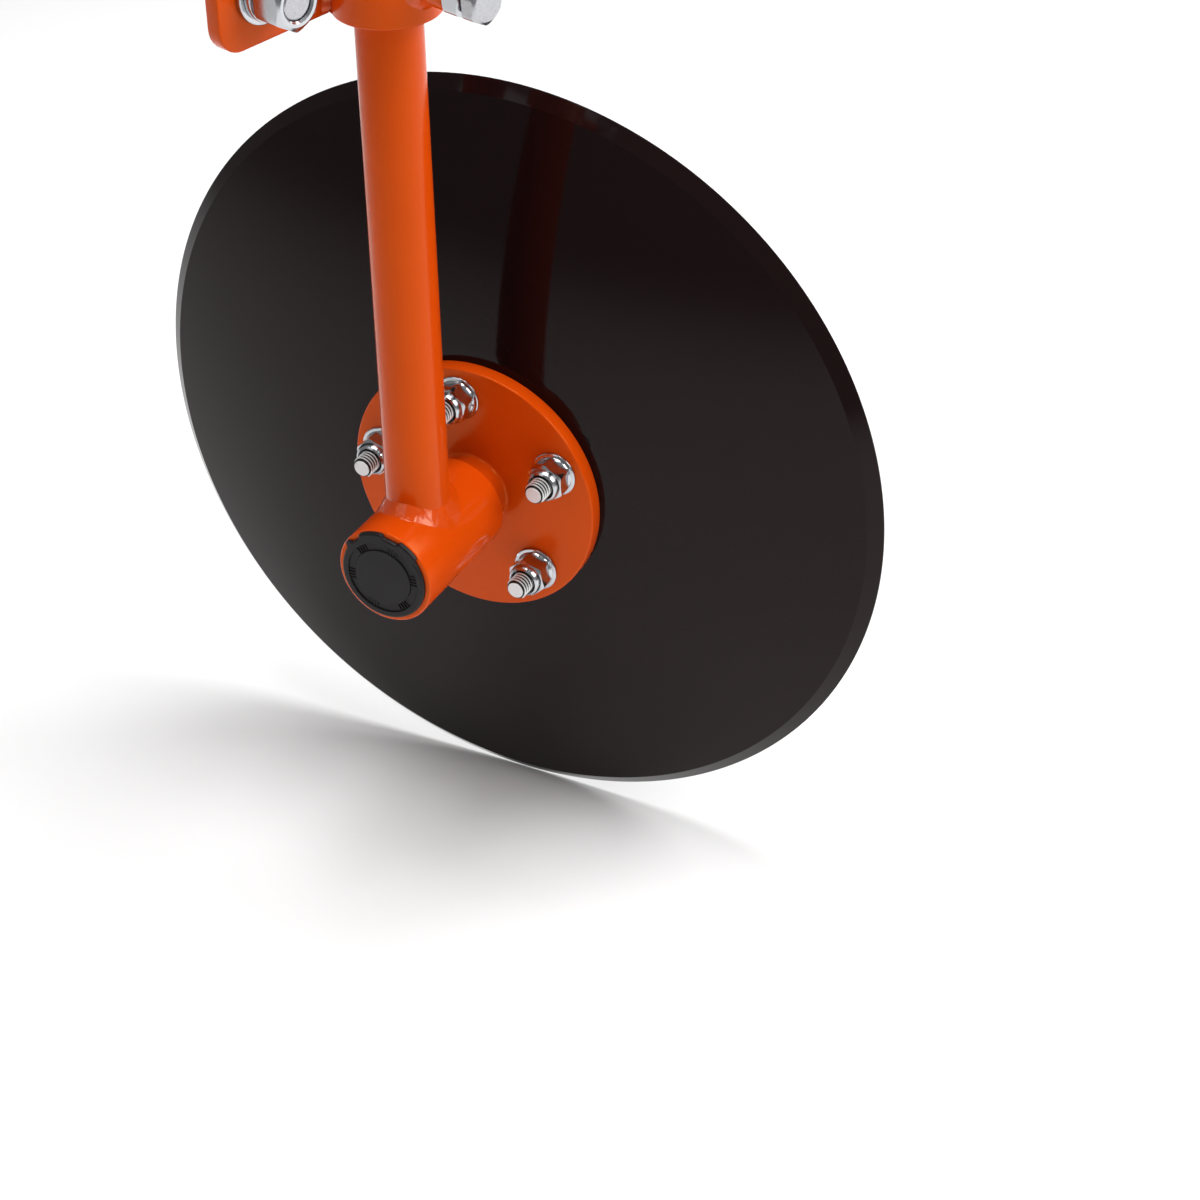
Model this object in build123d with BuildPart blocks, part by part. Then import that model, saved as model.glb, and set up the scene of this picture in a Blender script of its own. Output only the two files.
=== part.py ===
"""Disc unit of a towed disc tool: dished blade, bolted hub, round shank and its toolbar clamp.

All lengths are in millimetres. X runs along the toolbar, +Y points from the shank to the toolbar, Z is up.
The origin is the middle of the clamp plate's back face, which rests against the toolbar.
"""
import os
from math import cos, radians, sin, sqrt

from build123d import *

# Clamp sizes
plate_w = 164.0
plate_h = 125.0
rear_edge = 16.5
plate_t = 8.0
plate_corner_r = 12.0
bar_size = 60.0
bar_play = 0.5
bolt_x = 57.0
clamp_bolt_r = 8.0
clamp_hole_r = 8.75
hex_af = 24.0
clamp_head_h = 10.0
flat_washer_r = 15.0
flat_washer_t = 3.0
spring_washer_r = 13.0
spring_washer_t = 4.0
spring_washer_split = 2.0
clamp_nut_h = 16.0
bolt_recess = 0.8
hex_face = 0.88
hex_slope = 60.0

# Collar and shank sizes
collar_r = 25.0
collar_h = 100.0
collar_inset = 1.0
shank_r = 15.4
shank_play = 0.08
shank_above = 100.0
hub_drop = 339.4
air = 0.3
set_bolt_inset = 18.6
set_bolt_r = 6.0
set_af = 18.0
set_boss_r = 9.0
boss_top = 41.4
jam_nut_h = 10.0
jam_gap = 2.0
set_head_h = 7.5

# Disc and hub sizes
set_angle = 14.4
blade_r = 203.2
blade_t = 4.0
dish_depth = 31.0
flat_r = 71.0
bevel_w = 6.5
edge_t = 1.2
flange_r = 67.0
flange_t = 8.0
boss_r = 18.8
boss_reach = 2.5
hub_r = 25.0
hub_wall = 4.0
hub_start = 14.0
hub_end = 86.5
shank_from_flange = 52.0
spindle_r = 12.5
bearing_w = 12.0
spindle_room = 26.0
nut_insert_depth = 3.0
edge_soft = 0.8
disc_bolt_count = 5
disc_bolt_circle_r = 51.3
disc_bolt_phase = 24.4
disc_bolt_r = 5.5
disc_hole_r = 6.0
disc_bolt_tip = 22.3
disc_head_r = 11.0
disc_head_h = 5.5
nut_flange_r = 11.7
nut_flange_h = 2.0
nut_af = 18.0
nut_hex_h = 11.0
nut_h = 14.5

# Values that follow from the sizes above
shank_y = -(collar_r + air)
front_y = -plate_t
rear_y = bar_size + bar_play
bolt_z = bar_size / 2 + clamp_bolt_r + bar_play
rear_plate_h = 2 * (bolt_z + rear_edge)
plate_top = plate_h / 2
plate_bottom = -plate_h / 2
collar_bottom = plate_bottom + collar_inset
slot_h = collar_inset + collar_h + air
slot_half = sqrt((collar_r + air) ** 2 - (shank_y - front_y) ** 2) + air / 2
collar_bore_r = shank_r + shank_play
washer_y = front_y - flat_washer_t
spring_y = washer_y - spring_washer_t
nut_end_y = spring_y - clamp_nut_h
jam_end = boss_top + jam_nut_h
head_start = jam_end + jam_gap
hub_z = -hub_drop
u_dir = (-cos(radians(set_angle)), -sin(radians(set_angle)), 0)
w_dir = (sin(radians(set_angle)), -cos(radians(set_angle)), 0)
flange_x = -u_dir[0] * shank_from_flange
flange_y = shank_y - u_dir[1] * shank_from_flange
flange_at = (flange_x, flange_y, hub_z)
axle = Plane(origin=flange_at, x_dir=w_dir, z_dir=u_dir)
axle_half = Plane(origin=flange_at, x_dir=w_dir, z_dir=(0, 0, -1))
axle_line = Axis(flange_at, u_dir)
clamp_points = [(x, z) for x in (-bolt_x, bolt_x) for z in (-bolt_z, bolt_z)]
front_plane = Plane(origin=(0, 0, 0), x_dir=(-1, 0, 0), z_dir=(0, 1, 0))
set_plane = Plane(origin=(0, shank_y, 0), x_dir=(1, 0, 0), z_dir=(0, -1, 0))
set_low_z = collar_bottom + set_bolt_inset
set_high_z = collar_bottom + collar_h - set_bolt_inset
set_points = [(0, set_low_z), (0, set_high_z)]
hub_bore_r = hub_r - hub_wall
boss_h = hub_start + boss_reach
blade_front = -flange_t
blade_back = -flange_t - blade_t

# Dished blade profile, as radius and distance along the axle
dish_r = (blade_r**2 - flat_r**2) / (2 * dish_depth)
for step in range(30):
    dish_r = dish_r * (
        (sqrt(dish_r**2 - flat_r**2) - sqrt(dish_r**2 - blade_r**2)) / dish_depth
    )
dish_mid = blade_front - sqrt(dish_r**2 - flat_r**2)
hollow_r = dish_r - blade_t


def dome(radius, ball):
    """Point of the blade's face at a radius, on a ball of the given size."""
    return (radius, dish_mid + sqrt(ball**2 - radius**2))


hollow_flat_r = sqrt(hollow_r**2 - (blade_back - dish_mid) ** 2)
bevel_r = blade_r - bevel_w
rim_back = dome(blade_r, hollow_r)
rim_front = (blade_r, rim_back[1] + edge_t)

os.makedirs("parts", exist_ok=True)

# Clamp plate with the slot that takes the collar
with BuildPart() as clamp_plate:
    with BuildSketch(front_plane):
        RectangleRounded(plate_w, plate_h, plate_corner_r)
        with Locations(*clamp_points):
            Circle(clamp_hole_r, mode=Mode.SUBTRACT)
        with Locations((0, plate_bottom + slot_h / 2)):
            Rectangle(2 * slot_half, slot_h, mode=Mode.SUBTRACT)
    extrude(amount=-plate_t)
clamp_plate.part.label = "clamp_plate"
export_step(clamp_plate.part, "parts/clamp_plate.step")

# Rear clamp plate behind the toolbar
with BuildPart() as rear_clamp_plate:
    with BuildSketch(front_plane.offset(rear_y)):
        RectangleRounded(plate_w, rear_plate_h, plate_corner_r)
        with Locations(*clamp_points):
            Circle(clamp_hole_r, mode=Mode.SUBTRACT)
    extrude(amount=plate_t)
rear_clamp_plate.part.label = "rear_clamp_plate"
export_step(rear_clamp_plate.part, "parts/rear_clamp_plate.step")

# Collar tube around the shank, with a hole for each set bolt
with BuildPart() as shank_collar:
    with BuildSketch(Plane.XY.offset(collar_bottom)):
        with Locations((0, shank_y)):
            Circle(collar_r)
            Circle(collar_bore_r, mode=Mode.SUBTRACT)
    extrude(amount=collar_h)
    with BuildSketch(set_plane):
        with Locations(*set_points):
            Circle(set_bolt_r + air)
    extrude(amount=collar_r + 5, mode=Mode.SUBTRACT)
shank_collar.part.label = "shank_collar"
export_step(shank_collar.part, "parts/shank_collar.step")

# Weld beads between the collar and the plate
bead_reach = 7.0
bead_side_y = front_y - bead_reach
bead_side_x = sqrt((collar_r + air) ** 2 - (bead_side_y - shank_y) ** 2)
with BuildPart() as collar_welds:
    with BuildSketch(Plane.XY.offset(collar_bottom + 1)):
        for side in (-1, 1):
            with BuildLine():
                Polyline(
                    (side * slot_half, front_y),
                    (side * (slot_half + bead_reach), front_y),
                    (side * bead_side_x, bead_side_y),
                    close=True,
                )
            make_face()
        with Locations((0, shank_y)):
            Circle(collar_r + air / 10, mode=Mode.SUBTRACT)
    extrude(amount=collar_h - 2)
collar_welds.part.label = "collar_welds"
export_step(collar_welds.part, "parts/collar_welds.step")

# Clamp bolts, heads behind the rear plate
with BuildPart() as clamp_bolts:
    with BuildSketch(front_plane.offset(rear_y + plate_t)):
        with Locations(*clamp_points):
            RegularPolygon(hex_af / 2, 6, major_radius=False)
    extrude(amount=clamp_head_h)
    with BuildSketch(front_plane.offset(rear_y + plate_t + clamp_head_h)):
        with Locations(*clamp_points):
            Circle(hex_face * hex_af / 2)
    extrude(amount=-clamp_head_h, taper=-hex_slope, mode=Mode.INTERSECT)
    with BuildSketch(front_plane.offset(rear_y + plate_t)):
        with Locations(*clamp_points):
            Circle(clamp_bolt_r)
    extrude(amount=nut_end_y + bolt_recess - rear_y - plate_t)
clamp_bolts.part.label = "clamp_bolts"
export_step(clamp_bolts.part, "parts/clamp_bolts.step")

# Flat washers
with BuildPart() as flat_washers:
    with BuildSketch(front_plane.offset(front_y)):
        with Locations(*clamp_points):
            Circle(flat_washer_r)
            Circle(clamp_hole_r, mode=Mode.SUBTRACT)
    extrude(amount=-flat_washer_t)
flat_washers.part.label = "flat_washers"
export_step(flat_washers.part, "parts/flat_washers.step")

# Split spring washers
with BuildPart() as spring_washers:
    with BuildSketch(front_plane.offset(washer_y)):
        with Locations(*clamp_points):
            Circle(spring_washer_r)
            Circle(clamp_hole_r, mode=Mode.SUBTRACT)
        with Locations(*[(x, z + spring_washer_r) for x, z in clamp_points]):
            Rectangle(spring_washer_split, 2 * spring_washer_r - clamp_hole_r, mode=Mode.SUBTRACT)
    extrude(amount=-spring_washer_t)
spring_washers.part.label = "spring_washers"
export_step(spring_washers.part, "parts/spring_washers.step")

# Plain nuts on the clamp bolts, with a chamfered outer face
with BuildPart() as clamp_nuts:
    with BuildSketch(front_plane.offset(spring_y)):
        with Locations(*clamp_points):
            RegularPolygon(hex_af / 2, 6, major_radius=False)
    extrude(amount=-clamp_nut_h)
    with BuildSketch(front_plane.offset(nut_end_y)):
        with Locations(*clamp_points):
            Circle(hex_face * hex_af / 2)
    extrude(amount=clamp_nut_h, taper=-hex_slope, mode=Mode.INTERSECT)
    with BuildSketch(front_plane.offset(spring_y)):
        with Locations(*clamp_points):
            Circle(clamp_bolt_r + air)
    extrude(amount=-clamp_nut_h, mode=Mode.SUBTRACT)
clamp_nuts.part.label = "clamp_nuts"
export_step(clamp_nuts.part, "parts/clamp_nuts.step")

# Welded bosses for the set bolts
with BuildPart() as set_bosses:
    with BuildSketch(set_plane.offset(shank_r)):
        with Locations(*set_points):
            Circle(set_boss_r)
            Circle(set_bolt_r + air, mode=Mode.SUBTRACT)
    extrude(amount=boss_top - shank_r)
    with BuildSketch(Plane.XY.offset(collar_bottom)):
        with Locations((0, shank_y)):
            Circle(collar_r + air / 10)
    extrude(amount=collar_h, mode=Mode.SUBTRACT)
set_bosses.part.label = "set_bosses"
export_step(set_bosses.part, "parts/set_bosses.step")

# Set bolts that hold the shank in the collar
with BuildPart() as set_bolts:
    with BuildSketch(set_plane.offset(head_start)):
        with Locations(*set_points):
            RegularPolygon(set_af / 2, 6, major_radius=False, rotation=30)
    extrude(amount=set_head_h)
    with BuildSketch(set_plane.offset(head_start + set_head_h)):
        with Locations(*set_points):
            Circle(hex_face * set_af / 2)
    extrude(amount=-set_head_h, taper=-hex_slope, mode=Mode.INTERSECT)
    with BuildSketch(set_plane.offset(shank_r + shank_play)):
        with Locations(*set_points):
            Circle(set_bolt_r)
    extrude(amount=head_start - shank_r - shank_play)
set_bolts.part.label = "set_bolts"
export_step(set_bolts.part, "parts/set_bolts.step")

# Jam nuts on the set bolts
with BuildPart() as jam_nuts:
    with BuildSketch(set_plane.offset(boss_top)):
        with Locations(*set_points):
            RegularPolygon(set_af / 2, 6, major_radius=False, rotation=30)
    extrude(amount=jam_nut_h)
    with BuildSketch(set_plane.offset(boss_top + jam_nut_h)):
        with Locations(*set_points):
            Circle(hex_face * set_af / 2)
    extrude(amount=-jam_nut_h, taper=-hex_slope, mode=Mode.INTERSECT)
    with BuildSketch(set_plane.offset(boss_top)):
        with Locations(*set_points):
            Circle(set_bolt_r + air)
    extrude(amount=jam_nut_h, mode=Mode.SUBTRACT)
jam_nuts.part.label = "jam_nuts"
export_step(jam_nuts.part, "parts/jam_nuts.step")

# Round shank, coped to sit on the hub tube
with BuildPart() as shank:
    with BuildSketch(Plane.XY.offset(hub_z)):
        with Locations((0, shank_y)):
            Circle(shank_r)
    extrude(amount=shank_above - hub_z)
    chamfer(shank.edges().sort_by(Axis.Z)[-1], 2.0)
    with BuildSketch(axle.offset(hub_start)):
        Circle(hub_r + air / 10)
    extrude(amount=hub_end - hub_start, mode=Mode.SUBTRACT)
shank.part.label = "shank"
export_step(shank.part, "parts/shank.step")

# Hub tube across the foot of the shank
with BuildPart() as hub_tube:
    with BuildSketch(axle.offset(hub_start)):
        Circle(hub_r)
        Circle(hub_bore_r, mode=Mode.SUBTRACT)
    extrude(amount=hub_end - hub_start)
    chamfer(hub_tube.edges().filter_by(GeomType.CIRCLE).filter_by(lambda e: e.radius > hub_r - 0.1), 0.8)
hub_tube.part.label = "hub_tube"
export_step(hub_tube.part, "parts/hub_tube.step")

# Weld bead around the foot of the shank
bead_r = 6.0
with BuildPart() as shank_weld:
    with BuildSketch(axle.offset(hub_start)):
        Circle(hub_r)
    extrude(amount=hub_end - hub_start)
    with BuildSketch(Plane.XY.offset(hub_z)):
        with Locations((0, shank_y)):
            Circle(shank_r)
    extrude(amount=hub_r + 4 * bead_r)
    fillet(shank_weld.edges().filter_by(GeomType.CIRCLE, reverse=True).filter_by(GeomType.LINE, reverse=True), bead_r)
    with BuildSketch(axle.offset(hub_start - 1)):
        Circle(hub_r + air / 10)
    extrude(amount=hub_end - hub_start + 2, mode=Mode.SUBTRACT)
    with BuildSketch(Plane.XY.offset(hub_z)):
        with Locations((0, shank_y)):
            Circle(shank_r + air / 10)
    extrude(amount=hub_r + 5 * bead_r, mode=Mode.SUBTRACT)
shank_weld.part.label = "shank_weld"
export_step(shank_weld.part, "parts/shank_weld.step")

# Bearings in the hub tube
bearing_in = hub_start + 3.0
bearing_out = hub_end - spindle_room - bearing_w
with BuildPart() as hub_bearings:
    for bearing_at in (bearing_in, bearing_out):
        with BuildSketch(axle.offset(bearing_at)):
            Circle(hub_bore_r - air / 10)
            Circle(spindle_r + shank_play, mode=Mode.SUBTRACT)
        extrude(amount=bearing_w)
hub_bearings.part.label = "hub_bearings"
export_step(hub_bearings.part, "parts/hub_bearings.step")

# Plastic end cap pressed into the tube
cap_lip_r = hub_r - 2.6
cap_lip_t = 2.2
cap_plug_depth = 9.0
cap_wall = 2.0
with BuildPart() as hub_end_cap:
    with BuildSketch(axle.offset(hub_end)):
        Circle(cap_lip_r)
    extrude(amount=cap_lip_t)
    fillet(hub_end_cap.edges().sort_by(axle_line)[-1], 1.2)
    with BuildSketch(axle.offset(hub_end)):
        Circle(hub_bore_r - air / 10)
        Circle(hub_bore_r - cap_wall, mode=Mode.SUBTRACT)
    extrude(amount=-cap_plug_depth)
    with BuildSketch(axle.offset(hub_end + cap_lip_t)):
        Circle(cap_lip_r * 0.84)
        Circle(cap_lip_r * 0.68, mode=Mode.SUBTRACT)
    extrude(amount=-0.8, mode=Mode.SUBTRACT)
hub_end_cap.part.label = "hub_end_cap"
export_step(hub_end_cap.part, "parts/hub_end_cap.step")

# Dished blade with a flat middle and a bevelled edge
with BuildPart() as disc_blade:
    with BuildSketch(axle_half):
        with BuildLine():
            Polyline((0, blade_back), (0, blade_front), (flat_r, blade_front))
            ThreePointArc(
                (flat_r, blade_front), dome((flat_r + bevel_r) / 2, dish_r), dome(bevel_r, dish_r)
            )
            Polyline(dome(bevel_r, dish_r), rim_front, rim_back)
            ThreePointArc(
                rim_back, dome((hollow_flat_r + blade_r) / 2, hollow_r), (hollow_flat_r, blade_back)
            )
            Line((hollow_flat_r, blade_back), (0, blade_back))
        make_face()
    revolve(axis=axle_line)
    with BuildSketch(axle.offset(blade_back)):
        with PolarLocations(disc_bolt_circle_r, disc_bolt_count, start_angle=disc_bolt_phase):
            Circle(disc_hole_r)
    extrude(amount=blade_t, mode=Mode.SUBTRACT)
disc_blade.part.label = "disc_blade"
export_step(disc_blade.part, "parts/disc_blade.step")

# Flange with its raised ring
with BuildPart() as hub_flange:
    with BuildSketch(axle.offset(blade_front)):
        Circle(flange_r)
    extrude(amount=flange_t)
    with BuildSketch(axle):
        Circle(boss_r)
    extrude(amount=boss_h)
    fillet(hub_flange.edges().filter_by(GeomType.CIRCLE).sort_by(axle_line)[1:], edge_soft)
    with BuildSketch(axle.offset(blade_front)):
        Circle(spindle_r + air / 10)
        with PolarLocations(disc_bolt_circle_r, disc_bolt_count, start_angle=disc_bolt_phase):
            Circle(disc_hole_r)
    extrude(amount=flange_t + boss_h, mode=Mode.SUBTRACT)
hub_flange.part.label = "hub_flange"
export_step(hub_flange.part, "parts/hub_flange.step")

# Spindle fixed in the flange
spindle_shoulder = bearing_out + bearing_w
spindle_nut_h = 9.0
spindle_thread_r = spindle_r - 2.5
with BuildPart() as spindle:
    with BuildSketch(axle.offset(blade_front)):
        Circle(spindle_r)
    extrude(amount=spindle_shoulder - blade_front)
    with BuildSketch(axle.offset(spindle_shoulder)):
        Circle(spindle_thread_r)
    extrude(amount=spindle_nut_h + 2)
spindle.part.label = "spindle"
export_step(spindle.part, "parts/spindle.step")

# Nut on the end of the spindle
with BuildPart() as spindle_nut:
    with BuildSketch(axle.offset(spindle_shoulder)):
        RegularPolygon(spindle_r + 3, 6, major_radius=False)
        Circle(spindle_thread_r + air / 10, mode=Mode.SUBTRACT)
    extrude(amount=spindle_nut_h)
spindle_nut.part.label = "spindle_nut"
export_step(spindle_nut.part, "parts/spindle_nut.step")

# Disc bolts with smooth domed heads on the hollow side
with BuildPart() as disc_bolts:
    with BuildSketch(axle.offset(blade_back)):
        with PolarLocations(disc_bolt_circle_r, disc_bolt_count, start_angle=disc_bolt_phase):
            Circle(disc_bolt_r)
    extrude(amount=disc_bolt_tip - blade_back)
    with BuildSketch(axle.offset(blade_back)):
        with PolarLocations(disc_bolt_circle_r, disc_bolt_count, start_angle=disc_bolt_phase):
            Circle(disc_head_r)
    extrude(amount=-disc_head_h)
    fillet(disc_bolts.edges().filter_by(GeomType.CIRCLE).group_by(axle_line)[0], disc_head_h * 0.8)
disc_bolts.part.label = "disc_bolts"
export_step(disc_bolts.part, "parts/disc_bolts.step")

# Flanged lock nuts on the disc bolts
nut_ring_r = nut_af / 2 - 2.6
with BuildPart() as disc_nuts:
    with BuildSketch(axle):
        with PolarLocations(disc_bolt_circle_r, disc_bolt_count, start_angle=disc_bolt_phase):
            Circle(nut_flange_r)
    extrude(amount=nut_flange_h)
    with BuildSketch(axle):
        with PolarLocations(disc_bolt_circle_r, disc_bolt_count, start_angle=disc_bolt_phase):
            RegularPolygon(nut_af / 2, 6, major_radius=False)
    extrude(amount=nut_hex_h)
    with BuildSketch(axle):
        with PolarLocations(disc_bolt_circle_r, disc_bolt_count, start_angle=disc_bolt_phase):
            Circle(nut_af / 2 - 0.4)
    extrude(amount=nut_h)
    with BuildSketch(axle):
        with PolarLocations(disc_bolt_circle_r, disc_bolt_count, start_angle=disc_bolt_phase):
            Circle(disc_bolt_r + air)
    extrude(amount=nut_h, mode=Mode.SUBTRACT)
    with BuildSketch(axle.offset(nut_h - nut_insert_depth)):
        with PolarLocations(disc_bolt_circle_r, disc_bolt_count, start_angle=disc_bolt_phase):
            Circle(nut_ring_r + air / 2)
    extrude(amount=nut_insert_depth, mode=Mode.SUBTRACT)
disc_nuts.part.label = "disc_nuts"
export_step(disc_nuts.part, "parts/disc_nuts.step")

# Nylon rings in those nuts
with BuildPart() as disc_nut_inserts:
    with BuildSketch(axle.offset(nut_h - nut_insert_depth)):
        with PolarLocations(disc_bolt_circle_r, disc_bolt_count, start_angle=disc_bolt_phase):
            Circle(nut_ring_r)
            Circle(disc_bolt_r + air, mode=Mode.SUBTRACT)
    extrude(amount=nut_insert_depth * 0.8)
disc_nut_inserts.part.label = "disc_nut_inserts"
export_step(disc_nut_inserts.part, "parts/disc_nut_inserts.step")
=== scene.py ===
"""Looks of the disc unit: dished blade, bolted hub, round shank and toolbar clamp, in a plain studio."""

import logging
import math
from dataclasses import dataclass, field
from enum import Enum
from typing import Callable, ClassVar, Sequence

import bmesh
import bpy
from mathutils import Matrix, Vector

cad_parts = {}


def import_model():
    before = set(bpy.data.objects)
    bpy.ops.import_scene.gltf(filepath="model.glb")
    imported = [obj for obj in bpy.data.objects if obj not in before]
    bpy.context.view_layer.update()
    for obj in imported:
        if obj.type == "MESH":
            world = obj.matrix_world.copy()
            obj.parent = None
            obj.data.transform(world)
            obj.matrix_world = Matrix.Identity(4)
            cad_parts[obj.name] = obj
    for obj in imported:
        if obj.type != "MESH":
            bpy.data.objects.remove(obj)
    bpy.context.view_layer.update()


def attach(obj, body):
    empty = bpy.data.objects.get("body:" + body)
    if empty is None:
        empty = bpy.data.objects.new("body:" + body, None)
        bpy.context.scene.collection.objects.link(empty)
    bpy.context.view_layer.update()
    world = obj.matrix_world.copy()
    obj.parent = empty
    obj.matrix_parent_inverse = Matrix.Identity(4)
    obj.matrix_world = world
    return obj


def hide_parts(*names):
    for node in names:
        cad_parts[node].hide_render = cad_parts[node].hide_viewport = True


log = logging.getLogger("disc_unit")

MM = 0.001
AS_DRAWN = Matrix.Scale(1 / MM, 4)  # the place of a shape that stays in millimetres for a node tree
CRISP_DEG = 32.0  # edges sharper than this stay crisp, unless a shape says otherwise
HEX_DEG = 24.0  # the same for nuts and bolt heads
ROUND_DEG = 40.0  # the same for turned pieces with rounded edges
PLAY = 0.05  # room on the radius between pieces that fit in each other
THREAD_DEPTH = 0.30  # height of a thread's ridge, as a share of the pitch
THREAD_HALF = 0.22  # half the ridge's width, as a share of the pitch
THREAD_CORE = 0.27  # how far the core lies below the ridge's top, as a share of the pitch
FINER = 3.7  # how much finer the small ripple of a coat is than its broad one
BUMP_M = 0.0004  # height of a coat's ripple at full strength
IMAGE_PX = 1200
SENSOR_MM = 36.0
SQUARE = ((-1, -1), (1, -1), (1, 1), (-1, 1))
Spot = tuple[float, float]
Ring = list[Vector]


class Body(Enum):
    """The rigid bodies that pieces ride on."""

    BRACKET = "bracket"
    SHANK = "shank"
    ROTOR = "rotor"


class Coat(Enum):
    """The finishes, each with its material's name."""

    ORANGE = "orange_powder_coat"
    WELD = "orange_over_weld"
    BLACK = "black_blade_paint"
    NUT = "bright_zinc"
    BOLT = "dull_zinc"
    SATIN = "satin_zinc"
    NYLON = "black_nylon"
    CAP = "moulded_cap"
    STEEL = "ground_steel"
    # painted shade: near-black zinc on the thread cores, standing in for the shade between a thread's ridges
    ROOT = "thread_root"


# Node helpers


def link(tree: bpy.types.NodeTree, source: bpy.types.NodeSocket, target: bpy.types.NodeSocket) -> None:
    """Joins one node's output to another's input."""
    tree.links.new(source, target)


def add(tree: bpy.types.NodeTree, kind: str, **values: object) -> bpy.types.Node:
    """Adds a node and sets its own properties.

    Args:
        tree: The tree that takes the node.
        kind: The node's type name.
        values: Properties of the node, such as operation.

    Returns:
        The new node.
    """
    node = tree.nodes.new(kind)
    for name, value in values.items():
        setattr(node, name, value)
    return node


def math_node(
    tree: bpy.types.NodeTree, operation: str, first: object, second: object = 0.0
) -> bpy.types.NodeSocket:
    """Adds a Math node whose inputs are sockets or plain numbers.

    Args:
        tree: The tree that takes the node.
        operation: The node's operation.
        first: A socket or a number.
        second: A socket or a number.

    Returns:
        The node's output socket.
    """
    node = add(tree, "ShaderNodeMath", operation=operation)
    for socket, value in zip(node.inputs, (first, second)):
        if isinstance(value, bpy.types.NodeSocket):
            link(tree, value, socket)
        else:
            socket.default_value = value
    return node.outputs[0]


class SurfaceGroups:
    """Shader node groups that several finishes share."""

    def __init__(self) -> None:
        """Builds each group once."""
        self.peel = self._peel()
        self.tone = self._tone()
        self.scuff = self._scuff()

    @staticmethod
    def _start(name: str, inputs: Sequence[tuple[str, str, object]], output: tuple[str, str]) -> tuple:
        """Makes an empty group with Object coordinates ready to use.

        Args:
            name: The group's name.
            inputs: Name, socket type and default of each input.
            output: Name and socket type of the output.

        Returns:
            The tree, its input node, its output node and the coordinate socket.
        """
        tree = bpy.data.node_groups.new(name, "ShaderNodeTree")
        for label, kind, value in inputs:
            tree.interface.new_socket(label, in_out="INPUT", socket_type=kind).default_value = value
        tree.interface.new_socket(output[0], in_out="OUTPUT", socket_type=output[1])
        given = add(tree, "NodeGroupInput")
        result = add(tree, "NodeGroupOutput")
        place = add(tree, "ShaderNodeTexCoord").outputs["Object"]
        return tree, given, result, place

    @staticmethod
    def _noise(tree: bpy.types.NodeTree, place: bpy.types.NodeSocket, detail: float) -> bpy.types.Node:
        """Adds a noise texture.

        Args:
            tree: The tree that takes the node.
            place: The coordinates that it follows.
            detail: Its levels of finer noise.

        Returns:
            The new node.
        """
        node = add(tree, "ShaderNodeTexNoise")
        node.inputs["Detail"].default_value = detail
        link(tree, place, node.inputs["Vector"])
        return node

    def _peel(self) -> bpy.types.NodeTree:
        """Height of a sprayed or powder coat: a soft ripple with a finer one on it.

        Returns:
            The group's tree.
        """
        tree, given, result, place = self._start(
            "Coat ripple",
            [("Scale", "NodeSocketFloat", 400.0), ("Fine", "NodeSocketFloat", 0.25)],
            ("Height", "NodeSocketFloat"),
        )
        broad = self._noise(tree, place, 1.0)
        fine = self._noise(tree, place, 2.0)
        link(tree, given.outputs["Scale"], broad.inputs["Scale"])
        link(tree, math_node(tree, "MULTIPLY", given.outputs["Scale"], FINER), fine.inputs["Scale"])
        small = math_node(tree, "MULTIPLY", fine.outputs["Fac"], given.outputs["Fine"])
        link(tree, math_node(tree, "ADD", broad.outputs["Fac"], small), result.inputs["Height"])
        return tree

    def _tone(self) -> bpy.types.NodeTree:
        """Slow change of colour over a piece, between two given colours.

        Returns:
            The group's tree.
        """
        tree, given, result, place = self._start(
            "Tone drift",
            [
                ("Light", "NodeSocketColor", (1, 1, 1, 1)),
                ("Deep", "NodeSocketColor", (0, 0, 0, 1)),
                ("Scale", "NodeSocketFloat", 14.0),
            ],
            ("Color", "NodeSocketColor"),
        )
        cloud = self._noise(tree, place, 3.0)
        link(tree, given.outputs["Scale"], cloud.inputs["Scale"])
        mix = add(tree, "ShaderNodeMix", data_type="RGBA")
        link(tree, cloud.outputs["Fac"], mix.inputs["Factor"])
        link(tree, given.outputs["Light"], mix.inputs["A"])
        link(tree, given.outputs["Deep"], mix.inputs["B"])
        link(tree, mix.outputs["Result"], result.inputs["Color"])
        return tree

    def _scuff(self) -> bpy.types.NodeTree:
        """Roughness that wanders between two values, as handling leaves it.

        Returns:
            The group's tree.
        """
        tree, given, result, place = self._start(
            "Handling marks",
            [
                ("Low", "NodeSocketFloat", 0.1),
                ("High", "NodeSocketFloat", 0.3),
                ("Scale", "NodeSocketFloat", 60.0),
            ],
            ("Roughness", "NodeSocketFloat"),
        )
        cloud = self._noise(tree, place, 5.0)
        cloud.inputs["Roughness"].default_value = 0.62
        link(tree, given.outputs["Scale"], cloud.inputs["Scale"])
        spread = add(tree, "ShaderNodeMapRange")
        spread.inputs["From Min"].default_value = 0.3
        spread.inputs["From Max"].default_value = 0.75
        link(tree, cloud.outputs["Fac"], spread.inputs["Value"])
        link(tree, given.outputs["Low"], spread.inputs["To Min"])
        link(tree, given.outputs["High"], spread.inputs["To Max"])
        link(tree, spread.outputs["Result"], result.inputs["Roughness"])
        return tree


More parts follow.
